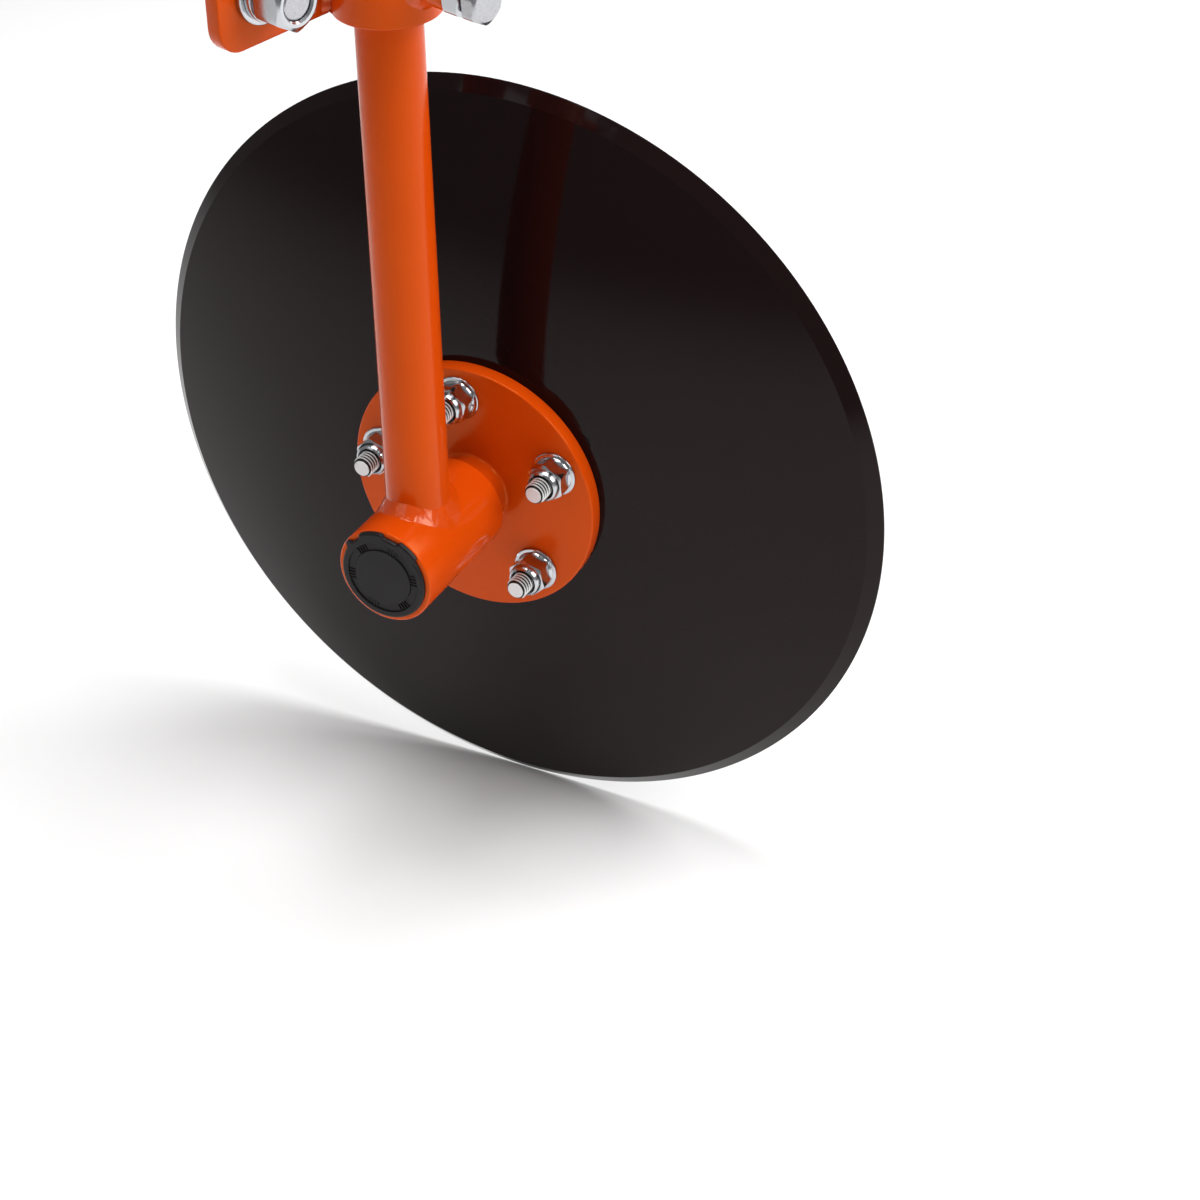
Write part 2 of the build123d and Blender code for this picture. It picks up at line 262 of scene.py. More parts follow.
@dataclass(frozen=True)
class Finish:
    """One surface finish and how it is laid on.

    Attributes:
        coat: Which finish it is.
        slot: The record's material slot that it stands for.
        light: Linear colour where the tone is light.
        deep: Linear colour where the tone is deep.
        metallic: One for bare or plated metal.
        rough: Lowest and highest roughness.
        ripple_scale: Coat ripples to a metre.
        ripple_depth: Strength of the coat ripple.
        gloss: Strength of the mirror layer on a painted or moulded surface.
        scuff_scale: Size of the handling marks.
        tint: Colour of the mirror layer on a painted surface.
    """

    coat: Coat
    slot: str
    light: tuple[float, float, float]
    deep: tuple[float, float, float]
    metallic: float
    rough: tuple[float, float]
    ripple_scale: float
    ripple_depth: float
    gloss: float
    scuff_scale: float = 60.0
    tint: tuple[float, float, float] = (1.0, 1.0, 1.0)

    def build(self, groups: SurfaceGroups) -> bpy.types.Material:
        """Makes the material.

        Args:
            groups: The shared shader groups.

        Returns:
            The finished material.
        """
        material = bpy.data.materials.new(self.coat.value)
        material.use_nodes = True
        tree = material.node_tree
        shader = tree.nodes["Principled BSDF"]
        shader.inputs["Metallic"].default_value = self.metallic
        shader.inputs["Specular IOR Level"].default_value = self.gloss
        shader.inputs["Specular Tint"].default_value = (*self.tint, 1.0)
        tone = add(tree, "ShaderNodeGroup", node_tree=groups.tone)
        tone.inputs["Light"].default_value = (*self.light, 1.0)
        tone.inputs["Deep"].default_value = (*self.deep, 1.0)
        link(tree, tone.outputs["Color"], shader.inputs["Base Color"])
        scuff = add(tree, "ShaderNodeGroup", node_tree=groups.scuff)
        scuff.inputs["Low"].default_value = self.rough[0]
        scuff.inputs["High"].default_value = self.rough[1]
        scuff.inputs["Scale"].default_value = self.scuff_scale
        link(tree, scuff.outputs["Roughness"], shader.inputs["Roughness"])
        peel = add(tree, "ShaderNodeGroup", node_tree=groups.peel)
        peel.inputs["Scale"].default_value = self.ripple_scale
        bump = add(tree, "ShaderNodeBump")
        bump.inputs["Strength"].default_value = self.ripple_depth
        bump.inputs["Distance"].default_value = BUMP_M
        link(tree, peel.outputs["Height"], bump.inputs["Height"])
        link(tree, bump.outputs["Normal"], shader.inputs["Normal"])
        return material


FINISHES: tuple[Finish, ...] = (
    Finish(
        Coat.ORANGE, "orange_paint", light=(0.665, 0.067, 0.0018), deep=(0.59, 0.054, 0.0014),
        metallic=0.0, rough=(0.13, 0.21), ripple_scale=380.0, ripple_depth=0.05, gloss=0.26,
        tint=(1.0, 0.78, 0.26),
    ),
    Finish(
        Coat.WELD, "orange_paint", light=(0.665, 0.067, 0.0018), deep=(0.59, 0.054, 0.0014),
        metallic=0.0, rough=(0.05, 0.12), ripple_scale=650.0, ripple_depth=0.38, gloss=0.50,
        tint=(1.0, 0.86, 0.66),
    ),
    Finish(
        Coat.BLACK, "black_paint", light=(0.0066, 0.0026, 0.0028), deep=(0.0080, 0.0034, 0.0036),
        metallic=0.0, rough=(0.045, 0.085), ripple_scale=300.0, ripple_depth=0.012, gloss=0.155,
        tint=(1.0, 0.91, 0.91),
    ),
    Finish(
        Coat.NUT, "zinc", light=(0.54, 0.55, 0.57), deep=(0.44, 0.455, 0.48),
        metallic=1.0, rough=(0.11, 0.22), ripple_scale=900.0, ripple_depth=0.015, gloss=0.5,
        scuff_scale=420.0,
    ),
    Finish(
        Coat.BOLT, "zinc", light=(0.75, 0.75, 0.752), deep=(0.65, 0.65, 0.655),
        metallic=0.4, rough=(0.30, 0.42), ripple_scale=1400.0, ripple_depth=0.05, gloss=0.5,
        scuff_scale=520.0,
    ),
    Finish(
        Coat.SATIN, "zinc", light=(0.49, 0.49, 0.51), deep=(0.38, 0.38, 0.40),
        metallic=1.0, rough=(0.20, 0.34), ripple_scale=1400.0, ripple_depth=0.04, gloss=0.5,
        scuff_scale=520.0,
    ),
    # Painted shade: the thread cores are near black so that the grooves between the ridges read dark.
    Finish(
        Coat.ROOT, "zinc", light=(0.045, 0.040, 0.038), deep=(0.025, 0.023, 0.022),
        metallic=1.0, rough=(0.35, 0.50), ripple_scale=1400.0, ripple_depth=0.05, gloss=0.5,
        scuff_scale=520.0,
    ),
    Finish(
        Coat.NYLON, "nylon", light=(0.006, 0.006, 0.0065), deep=(0.010, 0.010, 0.011),
        metallic=0.0, rough=(0.40, 0.55), ripple_scale=800.0, ripple_depth=0.03, gloss=0.3,
    ),
    Finish(
        Coat.CAP, "cap_plastic", light=(0.0095, 0.0078, 0.0082), deep=(0.0125, 0.0105, 0.011),
        metallic=0.0, rough=(0.38, 0.52), ripple_scale=900.0, ripple_depth=0.10, gloss=0.2,
    ),
    Finish(
        Coat.STEEL, "bearing_steel", light=(0.56, 0.56, 0.57), deep=(0.46, 0.46, 0.47),
        metallic=1.0, rough=(0.22, 0.34), ripple_scale=900.0, ripple_depth=0.03, gloss=0.5,
    ),
)


class Paints:
    """All materials of the unit, by coat."""

    def __init__(self) -> None:
        """Builds every finish."""
        groups = SurfaceGroups()
        self.made = {finish.coat: finish.build(groups) for finish in FINISHES}
        self.slots = {finish.coat: finish.slot for finish in FINISHES}

    def __getitem__(self, coat: Coat) -> bpy.types.Material:
        """The material of a coat."""
        return self.made[coat]


# Mesh helpers


def circle(radius: float, height: float, count: int) -> Ring:
    """Points of a round ring about Z, in millimetres."""
    turn = 2 * math.pi / count
    return [Vector((radius * math.cos(i * turn), radius * math.sin(i * turn), height)) for i in range(count)]


def hexagon(flats: float, count: int, level: Callable[[float], float], corner: float = 0.35) -> Ring:
    """Points of a hexagon about Z whose height follows its radius.

    Args:
        flats: Width across flats.
        count: Number of points, a multiple of 12.
        level: Height for a radius, which gives the curved edge of a chamfered nut.
        corner: How much the corners are rounded off.

    Returns:
        The ring's points.
    """
    points: Ring = []
    for i in range(count):
        angle = 2 * math.pi * i / count
        off = (angle + math.pi / 6) % (math.pi / 3) - math.pi / 6
        radius = min(flats / 2 / math.cos(off), flats / math.sqrt(3) - corner)
        points.append(Vector((radius * math.cos(angle), radius * math.sin(angle), level(radius))))
    return points


def lathe(profile: Sequence[Spot], count: int) -> list[Ring]:
    """Rings of a turned profile of radius and height; on the axis a ring is one point."""
    return [circle(r, h, count) if r > 0 else [Vector((0, 0, h))] for r, h in profile]


def raised(rings: Sequence[Ring], height: float) -> list[Ring]:
    """The same rings, moved up."""
    lift = Vector((0, 0, height))
    return [[point + lift for point in ring] for ring in rings]


def capped(rings: Sequence[Ring]) -> list[Ring]:
    """The same rings with a point in the middle of each end, which closes them."""
    first, last = ([sum(ring, Vector()) / len(ring)] for ring in (rings[0], rings[-1]))
    return [first, *rings, last]


def seal(bm: bmesh.types.BMesh, mesh: bpy.types.Mesh, reach: float) -> None:
    """Fills a mesh with closed shells whose faces look outward.

    Args:
        bm: The shells; they are used up.
        mesh: The mesh that takes them.
        reach: Points nearer than this become one.
    """
    bmesh.ops.remove_doubles(bm, verts=bm.verts, dist=reach)
    bmesh.ops.recalc_face_normals(bm, faces=bm.faces)
    bm.to_mesh(mesh)
    bm.free()


def skin(
    name: str, shells: Sequence[Sequence[Ring]], place: Matrix, sharp_deg: float = CRISP_DEG
) -> bpy.types.Object:
    """Joins rings of points into closed shells.

    Args:
        name: The object's name.
        shells: For each shell its rings, in order; a ring of one point is a pole, and a shell whose last
            ring is its first ring again closes on itself.
        place: Where the millimetre shape goes in the part's frame.
        sharp_deg: Edges sharper than this stay crisp.

    Returns:
        The new object, with its place in its mesh.
    """
    bm = bmesh.new()
    for rings in shells:
        loops = [[bm.verts.new(point) for point in ring] for ring in rings]
        for low, high in zip(loops, loops[1:]):
            for i in range(max(len(low), len(high))):
                corners = [low[i % len(low)], low[(i + 1) % len(low)]]
                corners += [high[(i + 1) % len(high)], high[i % len(high)]]
                face = list(dict.fromkeys(corners))
                if len(face) > 2:
                    bm.faces.new(face)
    mesh = bpy.data.meshes.new(name)
    seal(bm, mesh, 1e-5)
    return finish_mesh(name, mesh, place, sharp_deg)


def finish_mesh(name: str, mesh: bpy.types.Mesh, place: Matrix, sharp_deg: float) -> bpy.types.Object:
    """Puts a millimetre mesh in the part's frame with smooth shading.

    Args:
        name: The object's name.
        mesh: The mesh, in millimetres.
        place: Where it goes, in metres.
        sharp_deg: Edges sharper than this stay crisp.

    Returns:
        The new object.
    """
    mesh.transform(place @ Matrix.Scale(MM, 4))
    mesh.polygons.foreach_set("use_smooth", [True] * len(mesh.polygons))
    mesh.set_sharp_from_angle(angle=math.radians(sharp_deg))
    mesh.update()
    piece = bpy.data.objects.new(name, mesh)
    bpy.context.scene.collection.objects.link(piece)
    return piece


def turned(
    name: str, profile: Sequence[Spot], place: Matrix, count: int, sharp_deg: float
) -> bpy.types.Object:
    """Turns a closed profile about Z.

    Args:
        name: The object's name.
        profile: Radius and height of each corner, in order round the section.
        place: Where the shape goes.
        count: Points in each ring.
        sharp_deg: Edges sharper than this stay crisp.

    Returns:
        The new object.
    """
    rings = lathe(profile, count)
    if profile[0][0] > 0 or profile[-1][0] > 0:
        rings.append(rings[0])
    return skin(name, [rings], place, sharp_deg)


def rounded(corners: Sequence[Spot], radii: Sequence[float], steps: int = 4) -> list[Spot]:
    """Rounds the corners of a closed outline.

    Args:
        corners: The outline's corners.
        radii: A radius for each corner, zero to leave it.
        steps: Points in each rounded corner, less one.

    Returns:
        The outline with its corners rounded.
    """
    result: list[Spot] = []
    total = len(corners)
    for i, radius in enumerate(radii):
        here = Vector(corners[i])
        if radius <= 0:
            result.append(corners[i])
            continue
        back = (Vector(corners[i - 1]) - here).normalized()
        ahead = (Vector(corners[(i + 1) % total]) - here).normalized()
        half = back.angle(ahead) / 2
        middle = here + (back + ahead).normalized() * radius / math.sin(half)
        first = here + back * radius / math.tan(half) - middle
        last = here + ahead * radius / math.tan(half) - middle
        sweep = first.angle_signed(last)
        for step in range(steps + 1):
            turn = -sweep * step / steps
            x = first.x * math.cos(turn) - first.y * math.sin(turn)
            y = first.x * math.sin(turn) + first.y * math.cos(turn)
            result.append((middle.x + x, middle.y + y))
    return result


def plate(
    name: str,
    outline: Sequence[Spot],
    holes: Sequence[tuple[float, float, float]],
    low: float,
    high: float,
    edge: float,
    place: Matrix,
) -> bpy.types.Object:
    """Makes a flat plate with holes and softened edges.

    Args:
        name: The object's name.
        outline: The plate's outline.
        holes: Centre and radius of each hole.
        low: Height of the lower face.
        high: Height of the upper face.
        edge: Radius of the softened edges.
        place: Where the shape goes.

    Returns:
        The new object.
    """
    curve = bpy.data.curves.new(name, "CURVE")
    curve.dimensions = "2D"
    curve.fill_mode = "BOTH"
    loops = [list(outline)]
    for x, y, radius in holes:
        loops.append([(p.x + x, p.y + y) for p in circle(radius, 0, 48)])
    for loop in loops:
        spline = curve.splines.new("POLY")
        spline.points.add(len(loop) - 1)
        spline.use_cyclic_u = True
        for point, (x, y) in zip(spline.points, loop):
            point.co = (x, y, 0, 1)
    curve.extrude = (high - low) / 2 - edge
    curve.bevel_depth = edge
    curve.bevel_resolution = 2
    curve.offset = -edge
    holder = bpy.data.objects.new(name, curve)
    bpy.context.scene.collection.objects.link(holder)
    bpy.context.view_layer.update()
    graph = bpy.context.evaluated_depsgraph_get()
    mesh = bpy.data.meshes.new_from_object(holder.evaluated_get(graph))
    bpy.data.objects.remove(holder)
    mesh.transform(Matrix.Translation((0, 0, (low + high) / 2)))
    bm = bmesh.new()
    bm.from_mesh(mesh)
    seal(bm, mesh, 1e-4)
    return finish_mesh(name, mesh, place, 30.0)


def fillet(stem_r: float, drum_r: float, leg: float, along: float, count: int = 256) -> list[Ring]:
    """Rings of a weld fillet where a round stem stands on a drum.

    Args:
        stem_r: Radius of the stem, which stands along Y.
        drum_r: Radius of the drum, which lies along Z.
        leg: Mean length of the weld's legs.
        along: Where the stem stands along the drum.
        count: Sections round the stem.

    Returns:
        The sections in order, the first one again at the end.
    """
    sunk = 0.4  # how far a section starts inside the stem
    hollow = 1.35  # bend of the weld's face; one would be flat
    toe = 0.25  # how far its outer edge dips into the drum
    keel = 1.2  # how far its root dips into the drum
    steps = 10
    root = stem_r - sunk

    def spot(turn: float, out: float, lift: float) -> Vector:
        """A point by its angle round the stem, its distance from the axis and its height on the drum."""
        side = out * math.cos(turn)
        return Vector((side, math.sqrt(drum_r**2 - side * side) + lift, along + out * math.sin(turn)))

    rings: list[Ring] = []
    for i in range(count):
        angle = 2 * math.pi * i / count
        reach = leg * (1 + 0.06 * math.sin(5 * angle + 0.7) + 0.03 * math.sin(11 * angle))
        section: Ring = []
        for share in (step / steps for step in range(steps + 1)):
            lift = reach * (1 - share) ** hollow - toe * share
            section.append(spot(angle, root + (reach + sunk) * share, lift))
        section.append(spot(angle, root, -keel))
        rings.append(section)
    return rings + rings[:1]


# Geometry node trees


class Tree:
    """A geometry node tree with named inputs, baked to a plain mesh."""

    def __init__(self, name: str, inputs: Sequence[tuple[str, str]]) -> None:
        """Makes the tree and its sockets.

        Args:
            name: The tree's name.
            inputs: Name and socket type of each input beside the geometry and the material.
        """
        self.tree = bpy.data.node_groups.new(name, "GeometryNodeTree")
        self.tree.is_modifier = True
        face = self.tree.interface
        face.new_socket("Geometry", in_out="INPUT", socket_type="NodeSocketGeometry")
        self.sockets = {}
        for label, kind in [*inputs, ("Material", "NodeSocketMaterial")]:
            self.sockets[label] = face.new_socket(label, in_out="INPUT", socket_type=kind)
        face.new_socket("Geometry", in_out="OUTPUT", socket_type="NodeSocketGeometry")
        self.given = add(self.tree, "NodeGroupInput")
        self.result = add(self.tree, "NodeGroupOutput")

    def wire(self, node: bpy.types.Node, pairs: dict[str, str]) -> None:
        """Joins inputs of the tree, by name, to sockets of a node."""
        for label, socket in pairs.items():
            link(self.tree, self.given.outputs[label], node.inputs[socket])

    def vector(self, axis: str, value: bpy.types.NodeSocket) -> bpy.types.NodeSocket:
        """Makes a vector along one axis.

        Args:
            axis: X, Y or Z.
            value: Its length.

        Returns:
            The vector's socket.
        """
        node = add(self.tree, "ShaderNodeCombineXYZ")
        link(self.tree, value, node.inputs[axis])
        return node.outputs[0]

    def turn(self, angle: bpy.types.NodeSocket) -> bpy.types.NodeSocket:
        """Makes a rotation about Z.

        Args:
            angle: Its angle in radians.

        Returns:
            The rotation's socket.
        """
        node = add(self.tree, "FunctionNodeEulerToRotation")
        link(self.tree, self.vector("Z", angle), node.inputs[0])
        return node.outputs[0]

    def moved(
        self, geometry: bpy.types.NodeSocket, way: str, amount: bpy.types.NodeSocket
    ) -> bpy.types.NodeSocket:
        """Shifts or turns a geometry.

        Args:
            geometry: What is moved.
            way: Translation or Rotation.
            amount: How far.

        Returns:
            The moved geometry's socket.
        """
        node = add(self.tree, "GeometryNodeTransform")
        link(self.tree, geometry, node.inputs["Geometry"])
        link(self.tree, amount, node.inputs[way])
        return node.outputs["Geometry"]

    def copies(self, points: bpy.types.NodeSocket, rotation: bpy.types.NodeSocket) -> bpy.types.Node:
        """Puts the piece that feeds the tree on points.

        Args:
            points: Where the copies go.
            rotation: How each is turned.

        Returns:
            The node that makes the copies.
        """
        node = add(self.tree, "GeometryNodeInstanceOnPoints")
        link(self.tree, points, node.inputs["Points"])
        link(self.tree, rotation, node.inputs["Rotation"])
        self.wire(node, {"Geometry": "Instance"})
        return node

    def close(self, geometry: bpy.types.NodeSocket) -> None:
        """Ends the tree: realizes what it made and sets its material.

        Args:
            geometry: What the tree made.
        """
        real = add(self.tree, "GeometryNodeRealizeInstances")
        paint = add(self.tree, "GeometryNodeSetMaterial")
        link(self.tree, geometry, real.inputs["Geometry"])
        link(self.tree, real.outputs["Geometry"], paint.inputs["Geometry"])
        self.wire(paint, {"Material": "Material"})
        link(self.tree, paint.outputs["Geometry"], self.result.inputs["Geometry"])

    def bake(
        self, seed: bpy.types.Object, values: dict[str, object], place: Matrix, sharp_deg: float = CRISP_DEG
    ) -> bpy.types.Object:
        """Runs the tree on an object and keeps the result as a plain mesh.

        Args:
            seed: The object that feeds the tree, in millimetres; it is used up.
            values: A value for each named input.
            place: Where the result goes.
            sharp_deg: Edges sharper than this stay crisp.

        Returns:
            The finished object.
        """
        name = seed.name
        modifier = seed.modifiers.new("make", "NODES")
        modifier.node_group = self.tree
        for label, value in values.items():
            modifier[self.sockets[label].identifier] = value
        bpy.context.view_layer.update()
        graph = bpy.context.evaluated_depsgraph_get()
        mesh = bpy.data.meshes.new_from_object(seed.evaluated_get(graph))
        seed.modifiers.remove(modifier)
        bpy.data.objects.remove(seed)
        piece = finish_mesh(name, mesh, place, sharp_deg)
        piece.name = name
        return piece


class Pattern(Tree):
    """Copies of a piece on points, each turned a little about itself."""

    def __init__(self, name: str, inputs: Sequence[tuple[str, str]]) -> None:
        """Makes the tree with the inputs that every pattern has.

        Args:
            name: The tree's name.
            inputs: Name and socket type of each input that lays out the points.
        """
        super().__init__(name, [*inputs, ("Spin", "NodeSocketFloat"), ("Seed", "NodeSocketInt")])

    def spun(self, points: bpy.types.NodeSocket) -> bpy.types.NodeSocket:
        """Puts the piece on each point with a turn drawn by chance.

        Args:
            points: Where the copies go.

        Returns:
            The copies' socket.
        """
        most = 3  # the upper limit of the node's plain number
        draw = add(self.tree, "FunctionNodeRandomValue", data_type="FLOAT")
        link(self.tree, self.given.outputs["Spin"], draw.inputs[most])
        self.wire(draw, {"Seed": "Seed"})
        return self.copies(points, self.turn(draw.outputs[1])).outputs["Instances"]


class RoundPattern(Pattern):
    """Copies of a piece on a circle."""

    def __init__(self) -> None:
        """Builds the tree."""
        super().__init__(
            "Bolt circle",
            [("Count", "NodeSocketInt"), ("Radius", "NodeSocketFloat"), ("Phase", "NodeSocketFloat")],
        )
        points = add(self.tree, "GeometryNodeMeshCircle")
        self.wire(points, {"Count": "Vertices", "Radius": "Radius"})
        phase = self.turn(self.given.outputs["Phase"])
        self.close(self.moved(self.spun(points.outputs["Mesh"]), "Rotation", phase))


class GridPattern(Pattern):
    """Copies of a piece on a rectangular grid."""

    def __init__(self) -> None:
        """Builds the tree."""
        super().__init__(
            "Bolt grid",
            [
                ("Across", "NodeSocketFloat"),
                ("Up", "NodeSocketFloat"),
                ("Columns", "NodeSocketInt"),
                ("Rows", "NodeSocketInt"),
                ("Rise", "NodeSocketFloat"),
            ],
        )
        points = add(self.tree, "GeometryNodeMeshGrid")
        self.wire(points, {"Across": "Size X", "Up": "Size Y", "Columns": "Vertices X", "Rows": "Vertices Y"})
        rise = self.vector("Y", self.given.outputs["Rise"])
        self.close(self.moved(self.spun(points.outputs["Mesh"]), "Translation", rise))


class ThreadTree(Tree):
    """A screw thread wound on the piece that feeds it."""

    def __init__(self) -> None:
        """Builds the tree."""
        names = ("Radius", "Pitch", "Length", "Start")
        super().__init__("Screw thread", [(name, "NodeSocketFloat") for name in names])
        tree, given = self.tree, self.given
        helix = add(tree, "GeometryNodeCurveSpiral")
        helix.inputs["Resolution"].default_value = 40
        pitch = given.outputs["Pitch"]
        depth = math_node(tree, "MULTIPLY", pitch, THREAD_DEPTH)
        root = math_node(tree, "SUBTRACT", given.outputs["Radius"], depth)
        link(tree, math_node(tree, "DIVIDE", given.outputs["Length"], pitch), helix.inputs["Rotations"])
        link(tree, root, helix.inputs["Start Radius"])
        link(tree, root, helix.inputs["End Radius"])
        self.wire(helix, {"Length": "Height"})
        level = add(tree, "GeometryNodeSetCurveNormal", mode="Z_UP")
        link(tree, helix.outputs["Curve"], level.inputs["Curve"])
        ridge = add(tree, "GeometryNodeCurvePrimitiveQuadrilateral", mode="KITE")
        for side in ("Bottom Height", "Top Height"):
            link(tree, math_node(tree, "MULTIPLY", pitch, THREAD_HALF), ridge.inputs[side])
        link(tree, math_node(tree, "MULTIPLY", depth, 2.0), ridge.inputs["Width"])
        sweep = add(tree, "GeometryNodeCurveToMesh")
        sweep.inputs["Fill Caps"].default_value = True
        link(tree, level.outputs["Curve"], sweep.inputs["Curve"])
        link(tree, ridge.outputs["Curve"], sweep.inputs["Profile Curve"])
        start = self.vector("Z", given.outputs["Start"])
        both = add(tree, "GeometryNodeJoinGeometry")
        link(tree, self.moved(sweep.outputs["Mesh"], "Translation", start), both.inputs[0])
        link(tree, given.outputs["Geometry"], both.inputs[0])
        self.close(both.outputs[0])


class WeldTree(Tree):
    """Ripples and small lumps on the smooth skin of a painted weld."""

    def __init__(self) -> None:
        """Builds the tree."""
        names = ("Depth", "Scale", "Seed")
        super().__init__("Weld skin", [(name, "NodeSocketFloat") for name in names])
        tree, given = self.tree, self.given
        lumps = add(tree, "ShaderNodeTexNoise", noise_dimensions="4D")
        lumps.inputs["Detail"].default_value = 4.0
        self.wire(lumps, {"Scale": "Scale", "Seed": "W"})
        rise = math_node(tree, "SUBTRACT", lumps.outputs["Fac"], 0.5)
        amount = math_node(tree, "MULTIPLY", rise, given.outputs["Depth"])
        facing = add(tree, "GeometryNodeInputNormal")
        push = add(tree, "ShaderNodeVectorMath", operation="SCALE")
        link(tree, facing.outputs["Normal"], push.inputs[0])
        link(tree, amount, push.inputs["Scale"])
        move = add(tree, "GeometryNodeSetPosition")
        self.wire(move, {"Geometry": "Geometry"})
        link(tree, push.outputs["Vector"], move.inputs["Offset"])
        self.close(move.outputs["Geometry"])


class RibTree(Tree):
    """Short ribs in groups round a circle."""

    def __init__(self) -> None:
        """Builds the tree."""
        super().__init__(
            "Grouped ribs",
            [
                ("Places", "NodeSocketInt"),
                ("Radius", "NodeSocketFloat"),
                ("Group", "NodeSocketInt"),
                ("Filled", "NodeSocketInt"),
            ],
        )
        tree, given = self.tree, self.given
        points = add(tree, "GeometryNodeMeshCircle")
        self.wire(points, {"Places": "Vertices", "Radius": "Radius"})
        index = add(tree, "GeometryNodeInputIndex").outputs[0]
        step = math_node(tree, "DIVIDE", 2 * math.pi, given.outputs["Places"])
        turn = self.turn(math_node(tree, "MULTIPLY", index, step))
        within = math_node(tree, "MODULO", index, given.outputs["Group"])
        copies = self.copies(points.outputs["Mesh"], turn)
        link(tree, math_node(tree, "LESS_THAN", within, given.outputs["Filled"]), copies.inputs["Selection"])
        self.close(copies.outputs["Instances"])


class Trees:
    """The geometry node trees that the sub-assemblies share."""

    def __init__(self) -> None:
        """Builds each tree once."""
        self.circle = RoundPattern()
        self.grid = GridPattern()
        self.thread = ThreadTree()
        self.weld = WeldTree()
        self.ribs = RibTree()


def axes(origin: Sequence[float], x: Vector, y: Vector, z: Vector) -> Matrix:
    """A place in the part's frame from its origin in millimetres and three directions."""
    turn = Matrix((x, y, z)).transposed().to_4x4()
    return Matrix.Translation(Vector(origin) * MM) @ turn


# Sub-assemblies


@dataclass
class Layout:
    """Where the main lines of the unit lie, in millimetres.

    Attributes:
        shank_y: Place of the shank's axis.
        hub_z: Height of the axle.
        set_angle: How far the axle is turned from the plate's long side, in degrees.
        shank_from_flange: Way along the axle from the flange's face to the shank's axis.
        axle: Frame of the axle, its Z toward the end cap.
        shank: Frame of the shank, its Z up.
        clamp: Frame of the clamp bolts, its Z toward their nuts.
        setting: Frame of the set bolts, its Z toward their heads.
    """

    shank_y: float = -25.3
    hub_z: float = -339.4
    set_angle: float = 14.4
    shank_from_flange: float = 52.0
    axle: Matrix = field(init=False)
    shank: Matrix = field(init=False)
    clamp: Matrix = field(init=False)
    setting: Matrix = field(init=False)

    def __post_init__(self) -> None:
        """Works out the frames of the axle, the shank, the clamp bolts and the set bolts."""
        turn = math.radians(self.set_angle)
        along = Vector((-math.cos(turn), -math.sin(turn), 0))
        across = Vector((math.sin(turn), -math.cos(turn), 0))
        up = Vector((0, 0, 1))
        flange = Vector((0, self.shank_y, self.hub_z)) - along * self.shank_from_flange
        self.axle = axes(flange, across, up, along)
        self.shank = Matrix.Translation((0, self.shank_y * MM, 0))
        self.clamp = axes((0, 0, 0), Vector((1, 0, 0)), up, Vector((0, -1, 0)))
        self.setting = axes((0, self.shank_y, 0), Vector((1, 0, 0)), up, Vector((0, -1, 0)))


@dataclass(frozen=True)
class Lumps:
    """Roughness of a weld's skin.

    Attributes:
        depth: Height of the lumps, from lowest to highest.
        scale: How close they lie.
        seed: Seed of their noise.
    """

    depth: float
    scale: float
    seed: float


@dataclass
class SubAssembly:
    """A group of pieces that ride on one body, with its sizes in millimetres and degrees.

    Attributes:
        layout: Where the main lines of the unit lie.
        paints: The materials.
        trees: The geometry node trees.
        body: The body that the pieces move with.
    """

    layout: Layout
    paints: Paints
    trees: Trees
    body: ClassVar[Body]

    def dress(self, piece: bpy.types.Object, coat: Coat, *nodes: str) -> None:
        """Gives a piece its finish and says what it rides on and stands for.

        Args:
            piece: The finished object.
            coat: Its finish.
            nodes: The CAD nodes that it replaces.
        """
        piece.data.materials.clear()
        piece.data.materials.append(self.paints[coat])
        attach(piece, self.body.value)
        if nodes:
            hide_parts(*nodes)
        log.info("%s: %d faces on %s", piece.name, len(piece.data.polygons), self.body.value)

    def recolour(self, node: str, coat: Coat) -> None:
        """Gives a CAD node that keeps its shape a better material.

        Args:
            node: The node's name.
            coat: Its finish.
        """
        materials = bpy.data.objects[node].data.materials
        materials.clear()
        materials.append(self.paints[coat])

    def threaded(
        self, seed: bpy.types.Object, radius: float, pitch: float, start: float, length: float
    ) -> bpy.types.Object:
        """Winds a screw thread on a bolt.

        Args:
            seed: The bolt about Z, in millimetres; it is used up.
            radius: Radius over the thread.
            pitch: Its pitch.
            start: Height of its lower end.
            length: Its length.

        Returns:
            The bolt with its thread, still in millimetres.
        """
        values = {"Radius": radius, "Pitch": pitch, "Start": start, "Length": length}
        return self.trees.thread.bake(seed, {**values, "Material": self.paints[Coat.NUT]}, AS_DRAWN)

    def welded(
        self,
        seed: bpy.types.Object,
        place: Matrix,
        lumps: Lumps,
        sharp_deg: float,
        *nodes: str,
    ) -> None:
        """Roughens the skin of a weld and dresses it.

        Args:
            seed: The smooth weld, in millimetres; it is used up.
            place: Where it goes.
            lumps: How rough it is.
            sharp_deg: Edges sharper than this stay crisp.
            nodes: The CAD nodes that it replaces.
        """
        values = {"Depth": lumps.depth, "Scale": lumps.scale, "Seed": lumps.seed}
        values["Material"] = self.paints[Coat.WELD]
        self.dress(self.trees.weld.bake(seed, values, place, sharp_deg), Coat.WELD, *nodes)


